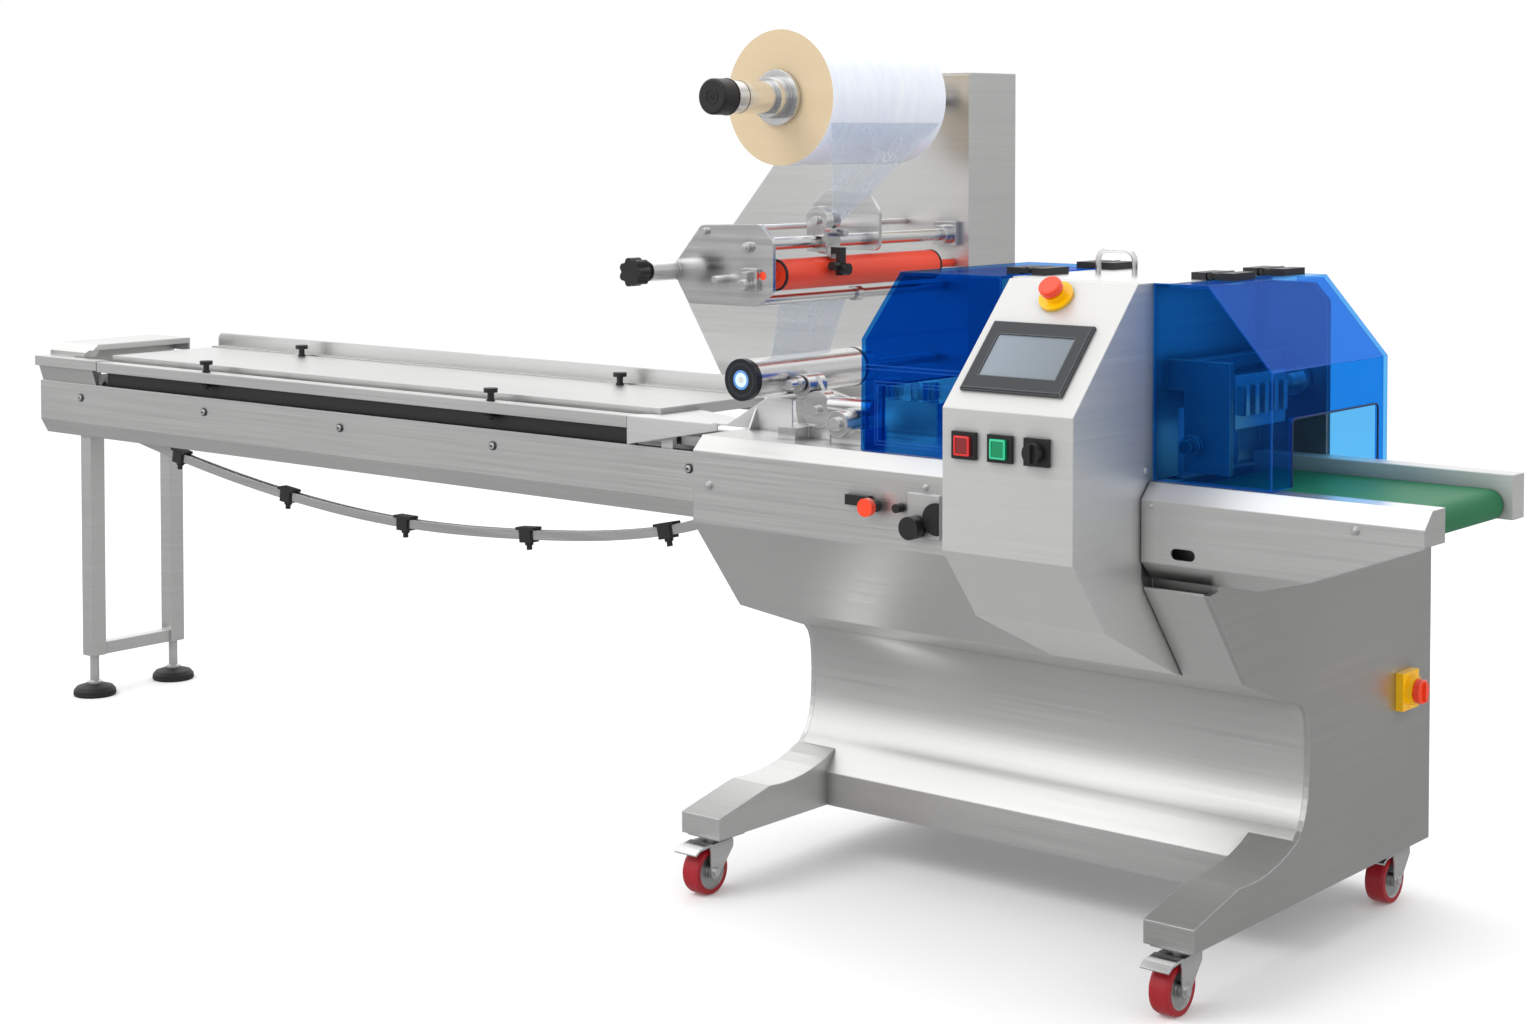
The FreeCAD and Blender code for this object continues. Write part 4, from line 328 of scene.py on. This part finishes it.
# the bezel's inner edge gets a painted highlight
bezel_grey = moulded("bezel_grey", (0.022, 0.025, 0.029), 0.38, painted_edge_light=0.5)
wear(black_plastic, "guide_knobs", "chain_lugs", "star_knob", "speed_knob", "control_bezels", "fascia_knobs",
     "clamp_clip")
wear(black_rubber, "levelling_pads")
wear(belt_green, "discharge_belt")
wear(roller_red, "red_roller")
wear(signal_red, "estop_button", "main_switch_knob", "fascia_red_knob")
wear(signal_yellow, "estop_collar", "main_switch_plate")
wear(signal_green, "start_button")
wear(lens_red, "stop_button")
wear(bezel_grey, "hmi_bezel")
wear(tread_red, "caster_wheel_fl", "caster_wheel_fr", "caster_wheel_bl", "caster_wheel_br")
print("plastics and rubbers done")

# %% [markdown]
# ## The touch screen
# A switched-off panel shows only a soft blue-grey sheen that fades across the glass. A gradient along the
# panel, painted into the colour as a painted reflection, with a clear coat gives that without any picture on it.

# %% Screen
screen, tree, shader = new_finish("panel_glass")
low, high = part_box("hmi_screen")
fade = add(tree, "ShaderNodeMapRange", [("Value", add(tree, "ShaderNodeSeparateXYZ", [
    ("Vector", object_point(tree))]).outputs["X"])], From_Min=low[0], From_Max=high[0])
# painted reflection: the base colour fades from blue-grey to darker along the panel
painted_sheen = add(tree, "ShaderNodeMix", [("Factor", fade.outputs[0])], data_type="RGBA")
painted_sheen.inputs[6].default_value = (0.20, 0.245, 0.29, 1.0)
painted_sheen.inputs[7].default_value = (0.14, 0.17, 0.20, 1.0)
tree.links.new(painted_sheen.outputs[2], shader.inputs["Base Color"])
shader.inputs["Roughness"].default_value = 0.25
shader.inputs["Coat Weight"].default_value = 0.6
wear(screen, "hmi_screen")
print("screen spans", round(high[0] - low[0], 3), "m")

# %% [markdown]
# ## Tinted guards
# The guards are clear acrylic dyed deep blue. Real refraction through two thin walls is slow to render and
# looks almost the same as plain tinted transparency, so each wall mixes a transparent shader with a little
# glossy blue. The bends take a lighter blue, a painted highlight, and faces that look up carry a little
# dust. Looking through more walls then darkens the colour, as on the real covers.


# %% Guards
EDGE_GAIN = 0.12
HAZE_GAIN = 0.03
BEND_HIGHLIGHT_BLUE = (0.03, 0.17, 0.62, 1.0)


def tinted(name, through, body, share, dust):
    material, tree, shader = new_finish(name)
    shader.inputs["Roughness"].default_value = 0.08
    shader.inputs["Specular IOR Level"].default_value = 0.35
    clear = add(tree, "ShaderNodeBsdfTransparent", Color=through)
    facing = add(tree, "ShaderNodeLayerWeight", Blend=0.2)
    haze = add(tree, "ShaderNodeTexNoise", [("Vector", object_point(tree))], Scale=4.0)
    amount = add(tree, "ShaderNodeMath", [(0, facing.outputs["Facing"])], operation="MULTIPLY_ADD")
    amount.inputs[1].default_value = EDGE_GAIN
    amount.inputs[2].default_value = share
    soft = add(tree, "ShaderNodeMath", [(0, haze.outputs["Fac"]), (2, amount.outputs[0])],
               operation="MULTIPLY_ADD")
    soft.inputs[1].default_value = HAZE_GAIN
    up = add(tree, "ShaderNodeSeparateXYZ", [("Vector", true_normal(tree))])
    settled = add(tree, "ShaderNodeMapRange", [("Value", up.outputs["Z"])], To_Max=dust)
    dusty = add(tree, "ShaderNodeMath", [(0, soft.outputs[0]), (1, settled.outputs[0])], operation="ADD")
    # painted highlight: the bends take a lighter blue and more of the glossy layer
    bend = bend_mask(tree, rounded_normal(tree), 0.75)
    paint = add(tree, "ShaderNodeMix", [(0, bend)], data_type="RGBA")
    paint.inputs[6].default_value = body
    paint.inputs[7].default_value = BEND_HIGHLIGHT_BLUE
    tree.links.new(paint.outputs[2], shader.inputs["Base Color"])
    edge = add(tree, "ShaderNodeMath", [(0, dusty.outputs[0]), (1, bend)], operation="ADD")
    mix = add(tree, "ShaderNodeMixShader", [(0, edge.outputs[0]), (1, clear.outputs[0]),
                                            (2, shader.outputs[0])])
    tree.links.new(mix.outputs[0], tree.nodes["Material Output"].inputs["Surface"])
    return material


guard_blue = tinted("guard_blue", (0.34, 0.70, 0.945, 1.0), (0.01, 0.14, 0.72, 1.0), 0.02, 0.3)
guard_deep = tinted("guard_deep", (0.18, 0.56, 0.89, 1.0), (0.0, 0.06, 0.36, 1.0), 0.05, 0.05)
wear(guard_blue, "guard_right")
wear(guard_deep, "guard_left")


def second_finish(name, material, wanted):
    """Gives the polygons for which wanted(centre) is true a second finish on the same node."""
    mesh = nodes[name].data
    mesh.materials.append(material)
    slot = len(mesh.materials) - 1
    count = 0
    for polygon in mesh.polygons:
        if wanted(polygon.center):
            polygon.material_index = slot
            count += 1
    return count


GUARD_TOP = 1.1605
for side in ("guard_left", "guard_right"):
    print(side, "hinge faces:", second_finish(side, black_plastic, lambda c: c.z > GUARD_TOP))

# %% [markdown]
# ## Pieces with two finishes
# Some CAD solids are one piece with two looks: a wheel has a red tread and a bright hub, the reel shaft
# ends in a black cap, and the bridge carries black hinge leaves and a bright handle. The mesh stays whole,
# and only the material index of some faces changes, chosen by where they are.

# %% Two-finish nodes
HUB_LIMIT = 0.0335
CAP_LENGTH = 0.041
# along the machine: hinge leaves lie outside the first two places, the handle between the second two
BRIDGE_HINGES = (1.175, 1.40)
BRIDGE_HANDLE = (1.19, 1.30)
hub_steel = steel("hub_steel", (0.62, 0.62, 0.62), 0.4, 120.0)
for corner in ("fl", "fr", "bl", "br"):
    name = "caster_wheel_" + corner
    low, high = (Vector(c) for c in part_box(name))
    middle = (low + high) / 2

    def near_axle(c, middle=middle):
        return math.hypot(c.y - middle.y, c.z - middle.z) < HUB_LIMIT

    second_finish(name, hub_steel, near_axle)

cap_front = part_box("reel_shaft")[0][1]
second_finish("reel_shaft", black_plastic, lambda c: c.y < cap_front + CAP_LENGTH)
bridge_faces = second_finish("guard_bridge", black_plastic, lambda c: c.z > GUARD_TOP and not (
    BRIDGE_HINGES[0] <= c.x <= BRIDGE_HINGES[1]))
bright_faces = second_finish("guard_bridge", bright_steel, lambda c: c.z > GUARD_TOP and (
    BRIDGE_HANDLE[0] < c.x < BRIDGE_HANDLE[1]))
print("bridge hinge faces", bridge_faces, "handle faces", bright_faces)

# %% [markdown]
# ## The dark slot along the infeed
# The front rail is a folded lip on an upright strip, and little light gets in under the lip. The face of
# the strip and the top of the side rail below it take a near-black steel, a painted shade standing in for
# the dark under the lip. The rear guide's top edge is folded over, and a brighter finish there draws its
# long line of light.

# %% Infeed slot
STRIP_FACE = (-0.0055, -0.0035)
LIP_COVERS = 0.016
RAIL_TOP = (0.774, 0.7785)
FOLD_SKIN = 0.0002
deck_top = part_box("infeed_guide_rear")[0][2]
guide_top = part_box("infeed_guide_rear")[1][2]
openings = {o["name"]: o["box_m"] for o in frame["record"]["physics"]["openings"]}
slot_front = openings["infeed_slot"][0][1]
# painted shade on the strip face and on the top of the side rail below it
dark_faces = second_finish("infeed_decks", shadow_steel, lambda c: (
    STRIP_FACE[0] < c.y - slot_front < STRIP_FACE[1] and c.z < deck_top - LIP_COVERS))
dark_faces += second_finish("infeed_frame", shadow_steel, lambda c: c.y < 0.0 and RAIL_TOP[0] < c.z < RAIL_TOP[1])
light_faces = second_finish("infeed_guide_rear", bright_steel, lambda c: c.z > guide_top - FOLD_SKIN)
print("dark faces", dark_faces, "bright faces", light_faces)

# %% [markdown]
# ## The draw roller's bearing cap
# The front end of the draw roller is a black cap with a blue ring and a pale hub. The rings are drawn by
# distance from the axle, worked out in the shader, so no extra mesh is needed.

# %% Bearing cap
cap, tree, shader = new_finish("bearing_cap")
apart, cap_radius = from_axle(tree, "draw_roller")
scaled = add(tree, "ShaderNodeMath", [(0, apart)], operation="DIVIDE")
scaled.inputs[1].default_value = cap_radius
rings = add(tree, "ShaderNodeValToRGB", [("Fac", scaled.outputs[0])])
rings.color_ramp.interpolation = "CONSTANT"
fill_ramp(rings, [(0.0, (0.55, 0.55, 0.52)), (0.16, (0.62, 0.75, 0.9)), (0.34, (0.10, 0.28, 0.62)),
                  (0.46, (0.008, 0.010, 0.014)), (0.72, (0.03, 0.035, 0.04)), (0.78, (0.008, 0.010, 0.014))])
tree.links.new(rings.outputs[0], shader.inputs["Base Color"])
shader.inputs["Roughness"].default_value = 0.3
CAP_DEPTH = 0.0125
cap_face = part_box("draw_roller")[0][1]
print("cap faces:", second_finish("draw_roller", cap, lambda c: c.y < cap_face + CAP_DEPTH))

# %% [markdown]
# ## Film on the roll
# A roll of film shows two things: the flat ends, where a thousand edges make cream rings, and the wound
# face, a milky skin with faint streaks. The shader tells them apart by the direction that the surface
# faces.

# %% Film roll
film, tree, shader = new_finish("wound_film")
apart, roll_radius = from_axle(tree, "film_roll")
layers = add(tree, "ShaderNodeTexNoise", [("W", apart)], noise_dimensions="1D", Scale=900.0, Detail=4.0)
ring_colour = add(tree, "ShaderNodeMix", [("Factor", layers.outputs["Fac"])], data_type="RGBA")
ring_colour.inputs[6].default_value = (0.45, 0.33, 0.19, 1.0)
ring_colour.inputs[7].default_value = (0.72, 0.59, 0.40, 1.0)
stretch = add(tree, "ShaderNodeMapping", [("Vector", object_point(tree))], Scale=(14.0, 60.0, 14.0))
streaks = add(tree, "ShaderNodeTexNoise", [("Vector", stretch.outputs[0])], Scale=1.0, Detail=3.0)
skin_colour = add(tree, "ShaderNodeMix", [("Factor", streaks.outputs["Fac"])], data_type="RGBA")
skin_colour.inputs[6].default_value = (0.74, 0.80, 0.92, 1.0)
skin_colour.inputs[7].default_value = (0.97, 0.98, 1.0, 1.0)
facing = add(tree, "ShaderNodeSeparateXYZ", [("Vector", true_normal(tree))])
sideways = add(tree, "ShaderNodeMath", [(0, facing.outputs["Y"])], operation="ABSOLUTE")
is_end = add(tree, "ShaderNodeMath", [(0, sideways.outputs[0])], operation="GREATER_THAN")
is_end.inputs[1].default_value = 0.7
both = add(tree, "ShaderNodeMix", [("Factor", is_end.outputs[0]), (6, skin_colour.outputs[2]),
                                   (7, ring_colour.outputs[2])], data_type="RGBA")
tree.links.new(both.outputs[2], shader.inputs["Base Color"])
shader.inputs["Roughness"].default_value = 0.24
shader.inputs["Coat Weight"].default_value = 0.5
wear(film, "film_roll")
print("film roll", round(2 * roll_radius, 3), "m across")

# %% [markdown]
# ## The clear web
# Off the roll the film is almost invisible: what shows are its edges, a little haze and its creases. A
# transparent shader mixed with a smooth one gives the sheet, and one noise gives both the haze and the thin
# crease lines.

# %% Film web
web, tree, shader = new_finish("clear_web")
shader.inputs["Base Color"].default_value = (0.85, 0.88, 0.92, 1.0)
shader.inputs["Roughness"].default_value = 0.15
clear = add(tree, "ShaderNodeBsdfTransparent", Color=(0.93, 0.95, 0.97, 1.0))
crease = add(tree, "ShaderNodeTexNoise", [("Vector", object_point(tree))], Scale=7.0, Distortion=2.0)
haze = add(tree, "ShaderNodeMapRange", [("Value", crease.outputs["Fac"])], To_Min=0.02, To_Max=0.3)
ridge = add(tree, "ShaderNodeMath", [(0, crease.outputs["Fac"])], operation="PINGPONG")
ridge.inputs[1].default_value = 0.11
line = add(tree, "ShaderNodeMapRange", [("Value", ridge.outputs[0])], From_Min=0.006, From_Max=0.0,
           To_Max=0.4)
edge = bend_mask(tree, rounded_normal(tree), 0.5)
folds = add(tree, "ShaderNodeMath", [(0, line.outputs[0]), (1, edge)], operation="MAXIMUM")
amount = add(tree, "ShaderNodeMath", [(0, haze.outputs[0]), (1, folds.outputs[0])], operation="ADD")
amount.use_clamp = True
mix = add(tree, "ShaderNodeMixShader", [(0, amount.outputs[0]), (1, clear.outputs[0]),
                                        (2, shader.outputs[0])])
tree.links.new(mix.outputs[0], tree.nodes["Material Output"].inputs["Surface"])
wear(web, "film_web")
print("web finish has", len(tree.nodes), "nodes")

# %% [markdown]
# ## Turned rings
# Rollers and shafts carry small turned parts: seals at the roller ends, a groove line on the reel shaft, a
# raised ring on its cap. A lathe makes them, and so does the spin tool: it sweeps one closed profile round
# the axle. Each ring rides on the body that turns, so it goes round with it.


# %% Turned rings
def turned(name, axle, profile, body, finish, steps=72):
    shape = bmesh.new()
    corners = [shape.verts.new((axle[0] + r, y, axle[1])) for r, y in profile]
    sides = [shape.edges.new(pair) for pair in zip(corners, corners[1:] + corners[:1])]
    bmesh.ops.spin(shape, geom=corners + sides, cent=(axle[0], 0.0, axle[1]), axis=(0.0, 1.0, 0.0),
                   angle=math.tau, steps=steps, use_merge=True)
    bmesh.ops.remove_doubles(shape, verts=shape.verts, dist=0.00001)
    bmesh.ops.recalc_face_normals(shape, faces=shape.faces)
    mesh = bpy.data.meshes.new(name)
    shape.to_mesh(mesh)
    shape.free()
    mesh.materials.append(finish)
    mesh.shade_smooth()
    mesh.set_sharp_from_angle(angle=math.radians(35.0))
    piece = bpy.data.objects.new(name, mesh)
    scene.collection.objects.link(piece)
    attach(piece, body)
    return piece


def ring_profile(inner, outer, y0, y1, round_off=0.0004):
    return [(inner, y0), (outer - round_off, y0), (outer, y0 + round_off), (outer, y1 - round_off),
            (outer - round_off, y1), (inner, y1)]


def barrel(name):
    """Axle and widest radius of a round node, and where that radius starts and ends."""
    low, high = (Vector(c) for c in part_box(name))
    axle = ((low.x + high.x) / 2, (low.z + high.z) / 2)
    reach = [(math.hypot(v.co.x - axle[0], v.co.z - axle[1]), v.co.y) for v in nodes[name].data.vertices]
    widest = max(r for r, _ in reach)
    ys = [y for r, y in reach if r > widest - 0.0005]
    return axle, widest, min(ys), max(ys)


roller_axle, roller_radius, roller_front, roller_back = barrel("red_roller")
shaft_axle = barrel("reel_shaft")[0]
draw_axle, _, _, cap_back = barrel("draw_roller")
seal = (roller_radius - 0.003, roller_radius + 0.0005)
# name, axle, inner and outer radius, where it starts and ends, body, finish
RINGS = [
    ("roller_seal_front", roller_axle, seal, (roller_front - 0.001, roller_front + 0.004), "dancer_roller",
     black_rubber),
    ("roller_seal_back", roller_axle, seal, (roller_back - 0.005, roller_back + 0.001), "dancer_roller",
     black_rubber),
    ("shaft_groove", shaft_axle, (0.0285, 0.0303), (cap_front + 0.072, cap_front + 0.0745), "film_reel",
     black_rubber),
    ("cap_ring", shaft_axle, (0.0115, 0.0145), (cap_front - 0.0009, cap_front + 0.001), "film_reel",
     black_plastic),
    ("cap_button", shaft_axle, (0.0015, 0.006), (cap_front - 0.0012, cap_front + 0.001), "film_reel",
     black_rubber),
    ("draw_seal", draw_axle, (0.03, 0.0379), (cap_back + 0.318, cap_back + 0.326), "draw_roller_unit",
     black_rubber),
    ("draw_band", draw_axle, (0.03, 0.0378), (cap_back + 0.002, cap_back + 0.0045), "draw_roller_unit",
     black_rubber),
]
for name, axle, radii, ends, body, finish in RINGS:
    turned(name, axle, ring_profile(*radii, *ends), body, finish)
print("rings turned:", len(RINGS))

# %% [markdown]
# ## Bolt trim
# Each bolt on the sheet metal sits on a dark sealing washer and has a six-sided socket. A spin of six steps
# makes the socket, and the same spin of many steps makes the washer.


# %% Bolts
BOLT_RADIUS = 0.007
BOLT_HEAD = 0.004
BOLT_Z = 0.744
END_BOLT_INSET = 0.170
BOLT_PLACES = (-1.242, -0.759, -0.273, 0.276)


def bolt_trim(name, x, z, sheet_y):
    head_y = sheet_y - BOLT_HEAD
    washer = ring_profile(BOLT_RADIUS - 0.001, BOLT_RADIUS + 0.0022, sheet_y - 0.0009, sheet_y + 0.0003, 0.0003)
    socket = ring_profile(0.0004, BOLT_RADIUS * 0.42, head_y - 0.0003, head_y + 0.001, 0.0002)
    turned(name + "_washer", (x, z), washer, "machine", black_rubber, 32)
    turned(name + "_socket", (x, z), socket, "machine", black_rubber, 6)


panel_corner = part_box("infeed_sides")[0]
for i, x in enumerate((panel_corner[0] + END_BOLT_INSET,) + BOLT_PLACES):
    bolt_trim("panel_bolt_%d" % i, x, BOLT_Z, panel_corner[1] + BOLT_HEAD)
print("bolts trimmed:", 1 + len(BOLT_PLACES))

# %% [markdown]
# ## Lens rims
# The two push buttons are square lenses with a brighter moulded rim that stands a little proud. The rim is
# a rounded square ring, built from an outer and an inner line of points joined face by face.


# %% Lens rims
def rounded_square(half_x, half_z, corner, steps=6):
    points = []
    for quarter, (sx, sz) in enumerate(((1, 1), (-1, 1), (-1, -1), (1, -1))):
        for i in range(steps + 1):
            angle = math.pi / 2 * (quarter + i / steps)
            points.append((sx * (half_x - corner) + corner * math.cos(angle),
                           sz * (half_z - corner) + corner * math.sin(angle)))
    return points


def lens_rim(name, node, body, finish, width=0.0032, proud=0.0012):
    low, high = (Vector(c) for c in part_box(node))
    middle = (low + high) / 2
    half = ((high.x - low.x) / 2 - 0.0002, (high.z - low.z) / 2 - 0.0002)
    outer = rounded_square(half[0], half[1], 0.003)
    inner = rounded_square(half[0] - width, half[1] - width, 0.0015)
    shape = bmesh.new()
    loops = []
    for line, y in ((outer, low.y + 0.001), (outer, low.y - proud * 0.6), (inner, low.y - proud),
                    (inner, low.y + 0.001)):
        loops.append([shape.verts.new((middle.x + px, y, middle.z + pz)) for px, pz in line])
    for a, b in zip(loops, loops[1:] + loops[:1]):
        for i in range(len(a)):
            j = (i + 1) % len(a)
            shape.faces.new((a[i], a[j], b[j], b[i]))
    bmesh.ops.recalc_face_normals(shape, faces=shape.faces)
    mesh = bpy.data.meshes.new(name)
    shape.to_mesh(mesh)
    shape.free()
    mesh.materials.append(finish)
    piece = bpy.data.objects.new(name, mesh)
    scene.collection.objects.link(piece)
    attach(piece, body)
    return piece


rim_red = moulded("rim_red", (0.62, 0.02, 0.02), 0.25, coat=0.4)
rim_green = moulded("rim_green", (0.03, 0.50, 0.26), 0.25, coat=0.4)
lens_rim("stop_lens_rim", "stop_button", "stop_push", rim_red)
lens_rim("start_lens_rim", "start_button", "start_push", rim_green)
print("lens rims done")

# %% [markdown]
# ## Trim round the guard mouths
# The product goes in through a cut in the left guard's end wall and comes out through one in the right
# guard's. A soft dark trim covers the cut edge of the acrylic. A curve with a round bevel follows the cut,
# which is read from the corners of the mesh.


# %% Guard trim
WALL_LEAN = 0.003
EDGE_BAND = 0.006
CUT_HEIGHT = (0.02, 0.16)
CORNER = 0.008
CORNER_MIDDLE = 0.0025
FOOT_GAP = 0.002


def mouth_corners(node, end_x):
    """Lowest y, highest y and top of the cut in the end wall at end_x, and the foot of the guard."""
    low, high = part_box(node)
    inner = [v.co for v in nodes[node].data.vertices if abs(v.co.x - end_x) < WALL_LEAN
             and low[1] + EDGE_BAND < v.co.y < high[1] - EDGE_BAND
             and low[2] + CUT_HEIGHT[0] < v.co.z < low[2] + CUT_HEIGHT[1]]
    return min(c.y for c in inner), max(c.y for c in inner), max(c.z for c in inner), low[2]


def trim(name, node, body, end_x, thick=0.0018):
    y0, y1, top, foot = mouth_corners(node, end_x)
    lean = min((v.co.x - end_x for v in nodes[node].data.vertices if abs(v.co.z - top) < 0.0005), key=abs)
    data = bpy.data.curves.new(name, "CURVE")
    data.dimensions = "3D"
    data.bevel_depth = thick
    data.bevel_resolution = 3
    line = data.splines.new("POLY")
    corners = [(y0, foot + FOOT_GAP), (y0, top - CORNER), (y0 + CORNER_MIDDLE, top - CORNER_MIDDLE),
               (y0 + CORNER, top), (y1 - CORNER, top), (y1 - CORNER_MIDDLE, top - CORNER_MIDDLE),
               (y1, top - CORNER), (y1, foot + FOOT_GAP)]
    line.points.add(len(corners) - 1)
    for point, (y, z) in zip(line.points, corners):
        point.co = (end_x + lean * (z - foot) / (top - foot), y, z, 1.0)
    data.materials.append(trim_blue)
    piece = bpy.data.objects.new(name, data)
    scene.collection.objects.link(piece)
    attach(piece, body)
    print(name, "round a cut", round(y1 - y0, 3), "m wide")


trim_blue = moulded("trim_blue", (0.0, 0.018, 0.10), 0.4)
trim("left_mouth_trim", "guard_left", "left_guard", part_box("guard_left")[0][0])
trim("right_mouth_trim", "guard_right", "right_guard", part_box("guard_right")[1][0])

# %% [markdown]
# ## The floor
# A catalogue picture stands on white with only a soft shadow. The floor is a pale plane that the world
# light and a little light of its own bring up to white. To glossy rays it is a plain grey, so steel darkens
# towards the ground.


# %% Floor
def make_floor(half):
    mesh = bpy.data.meshes.new("pale_floor")
    shape = bmesh.new()
    bmesh.ops.create_grid(shape, x_segments=4, y_segments=4, size=half)
    shape.to_mesh(mesh)
    shape.free()
    floor = bpy.data.objects.new("pale_floor", mesh)
    scene.collection.objects.link(floor)
    return floor


FLOOR_HALF = 60.0
floor = make_floor(FLOOR_HALF)
floor_white, tree, shader = new_finish("floor_white")
shader.inputs["Base Color"].default_value = (0.9, 0.9, 0.9, 1.0)
shader.inputs["Roughness"].default_value = 0.6
shader.inputs["Specular IOR Level"].default_value = 0.1
shader.inputs["Emission Color"].default_value = (1.0, 1.0, 1.0, 1.0)
shader.inputs["Emission Strength"].default_value = 0.10
grey = add(tree, "ShaderNodeEmission", Color=(1.0, 1.0, 1.0, 1.0), Strength=0.34)
path = add(tree, "ShaderNodeLightPath")
mix = add(tree, "ShaderNodeMixShader", [(0, path.outputs["Is Glossy Ray"]), (1, shader.outputs[0]),
                                        (2, grey.outputs[0])])
tree.links.new(mix.outputs[0], tree.nodes["Material Output"].inputs["Surface"])
floor.data.materials.append(floor_white)
print("floor", 2 * FLOOR_HALF, "m wide")

# %% [markdown]
# ## The room that the steel mirrors
# Steel has hardly any colour of its own, so what it mirrors is what is seen. The camera sees pure white,
# while glossy rays see a room: light above, grey below, and lighter and darker upright bands from side to
# side. A picture of a real studio would do the same, but two colour ramps are smaller and easy to change.
# All other rays find plain white, which fills the shadows.

# %% World
world = bpy.data.worlds.new("studio")
scene.world = world
world.use_nodes = True
tree = world.node_tree
tree.nodes.clear()
where = add(tree, "ShaderNodeTexCoord").outputs["Generated"]
axes = add(tree, "ShaderNodeSeparateXYZ", [("Vector", where)])
height = add(tree, "ShaderNodeMapRange", [("Value", axes.outputs["Z"])], From_Min=-1.0, From_Max=1.0)
ramp = add(tree, "ShaderNodeValToRGB", [("Fac", height.outputs[0])])
SKY_STOPS = [(0.0, 0.26), (0.48, 0.52), (0.53, 0.66), (0.70, 0.84), (1.0, 0.95)]
fill_ramp(ramp, [(place, (bright,) * 3) for place, bright in SKY_STOPS])
BAND_GAIN = 2.0
across = add(tree, "ShaderNodeMapRange", [("Value", axes.outputs["X"])], From_Min=-1.0, From_Max=1.0)
panels = add(tree, "ShaderNodeValToRGB", [("Fac", across.outputs[0])])
PANEL_STOPS = [(0.0, 0.75), (0.10, 0.75), (0.135, 0.42), (0.18, 0.62), (0.26, 0.86), (0.42, 0.80),
               (0.60, 0.55), (0.73, 0.30), (0.80, 0.44), (1.0, 0.48)]
fill_ramp(panels, [(place, (bright,) * 3) for place, bright in PANEL_STOPS])
side = add(tree, "ShaderNodeMath", [(0, panels.outputs[0])], operation="MULTIPLY")
side.inputs[1].default_value = BAND_GAIN
glossy = add(tree, "ShaderNodeBackground", [("Color", ramp.outputs[0]), ("Strength", side.outputs[0])])
white = add(tree, "ShaderNodeBackground", Color=(1.0, 1.0, 1.0, 1.0), Strength=1.0)
fill = add(tree, "ShaderNodeBackground", Color=(1.0, 1.0, 1.0, 1.0), Strength=1.0)
path = add(tree, "ShaderNodeLightPath")
not_camera = add(tree, "ShaderNodeMixShader", [(0, path.outputs["Is Glossy Ray"]), (1, fill.outputs[0]),
                                               (2, glossy.outputs[0])])
final = add(tree, "ShaderNodeMixShader", [(0, path.outputs["Is Camera Ray"]), (1, not_camera.outputs[0]),
                                          (2, white.outputs[0])])
add(tree, "ShaderNodeOutputWorld", [("Surface", final.outputs[0])])
print("world has", len(tree.nodes), "nodes")

# %% [markdown]
# ## Two soft lamps
# The world alone lights every side alike. A large lamp high on the front left makes the faces differ, and
# one overhead adds to the soft shadow on the floor. Both are hidden from glossy rays, so no hot patch shows
# on steel.


# %% Softboxes
def softbox(name, place, aim, size, power):
    data = bpy.data.lights.new(name, "AREA")
    data.shape = "RECTANGLE"
    data.size = size[0]
    data.size_y = size[1]
    data.energy = power
    light = bpy.data.objects.new(name, data)
    light.location = place
    light.rotation_euler = (Vector(aim) - Vector(place)).to_track_quat("-Z", "Y").to_euler()
    light.visible_glossy = False
    scene.collection.objects.link(light)
    return light


softbox("key", (-1.5, -4.5, 5.0), (0.3, 0.0, 0.6), (3.5, 2.5), 160.0)
softbox("top", (0.5, 1.5, 5.5), (0.5, 0.0, 0.8), (5.0, 3.0), 80.0)
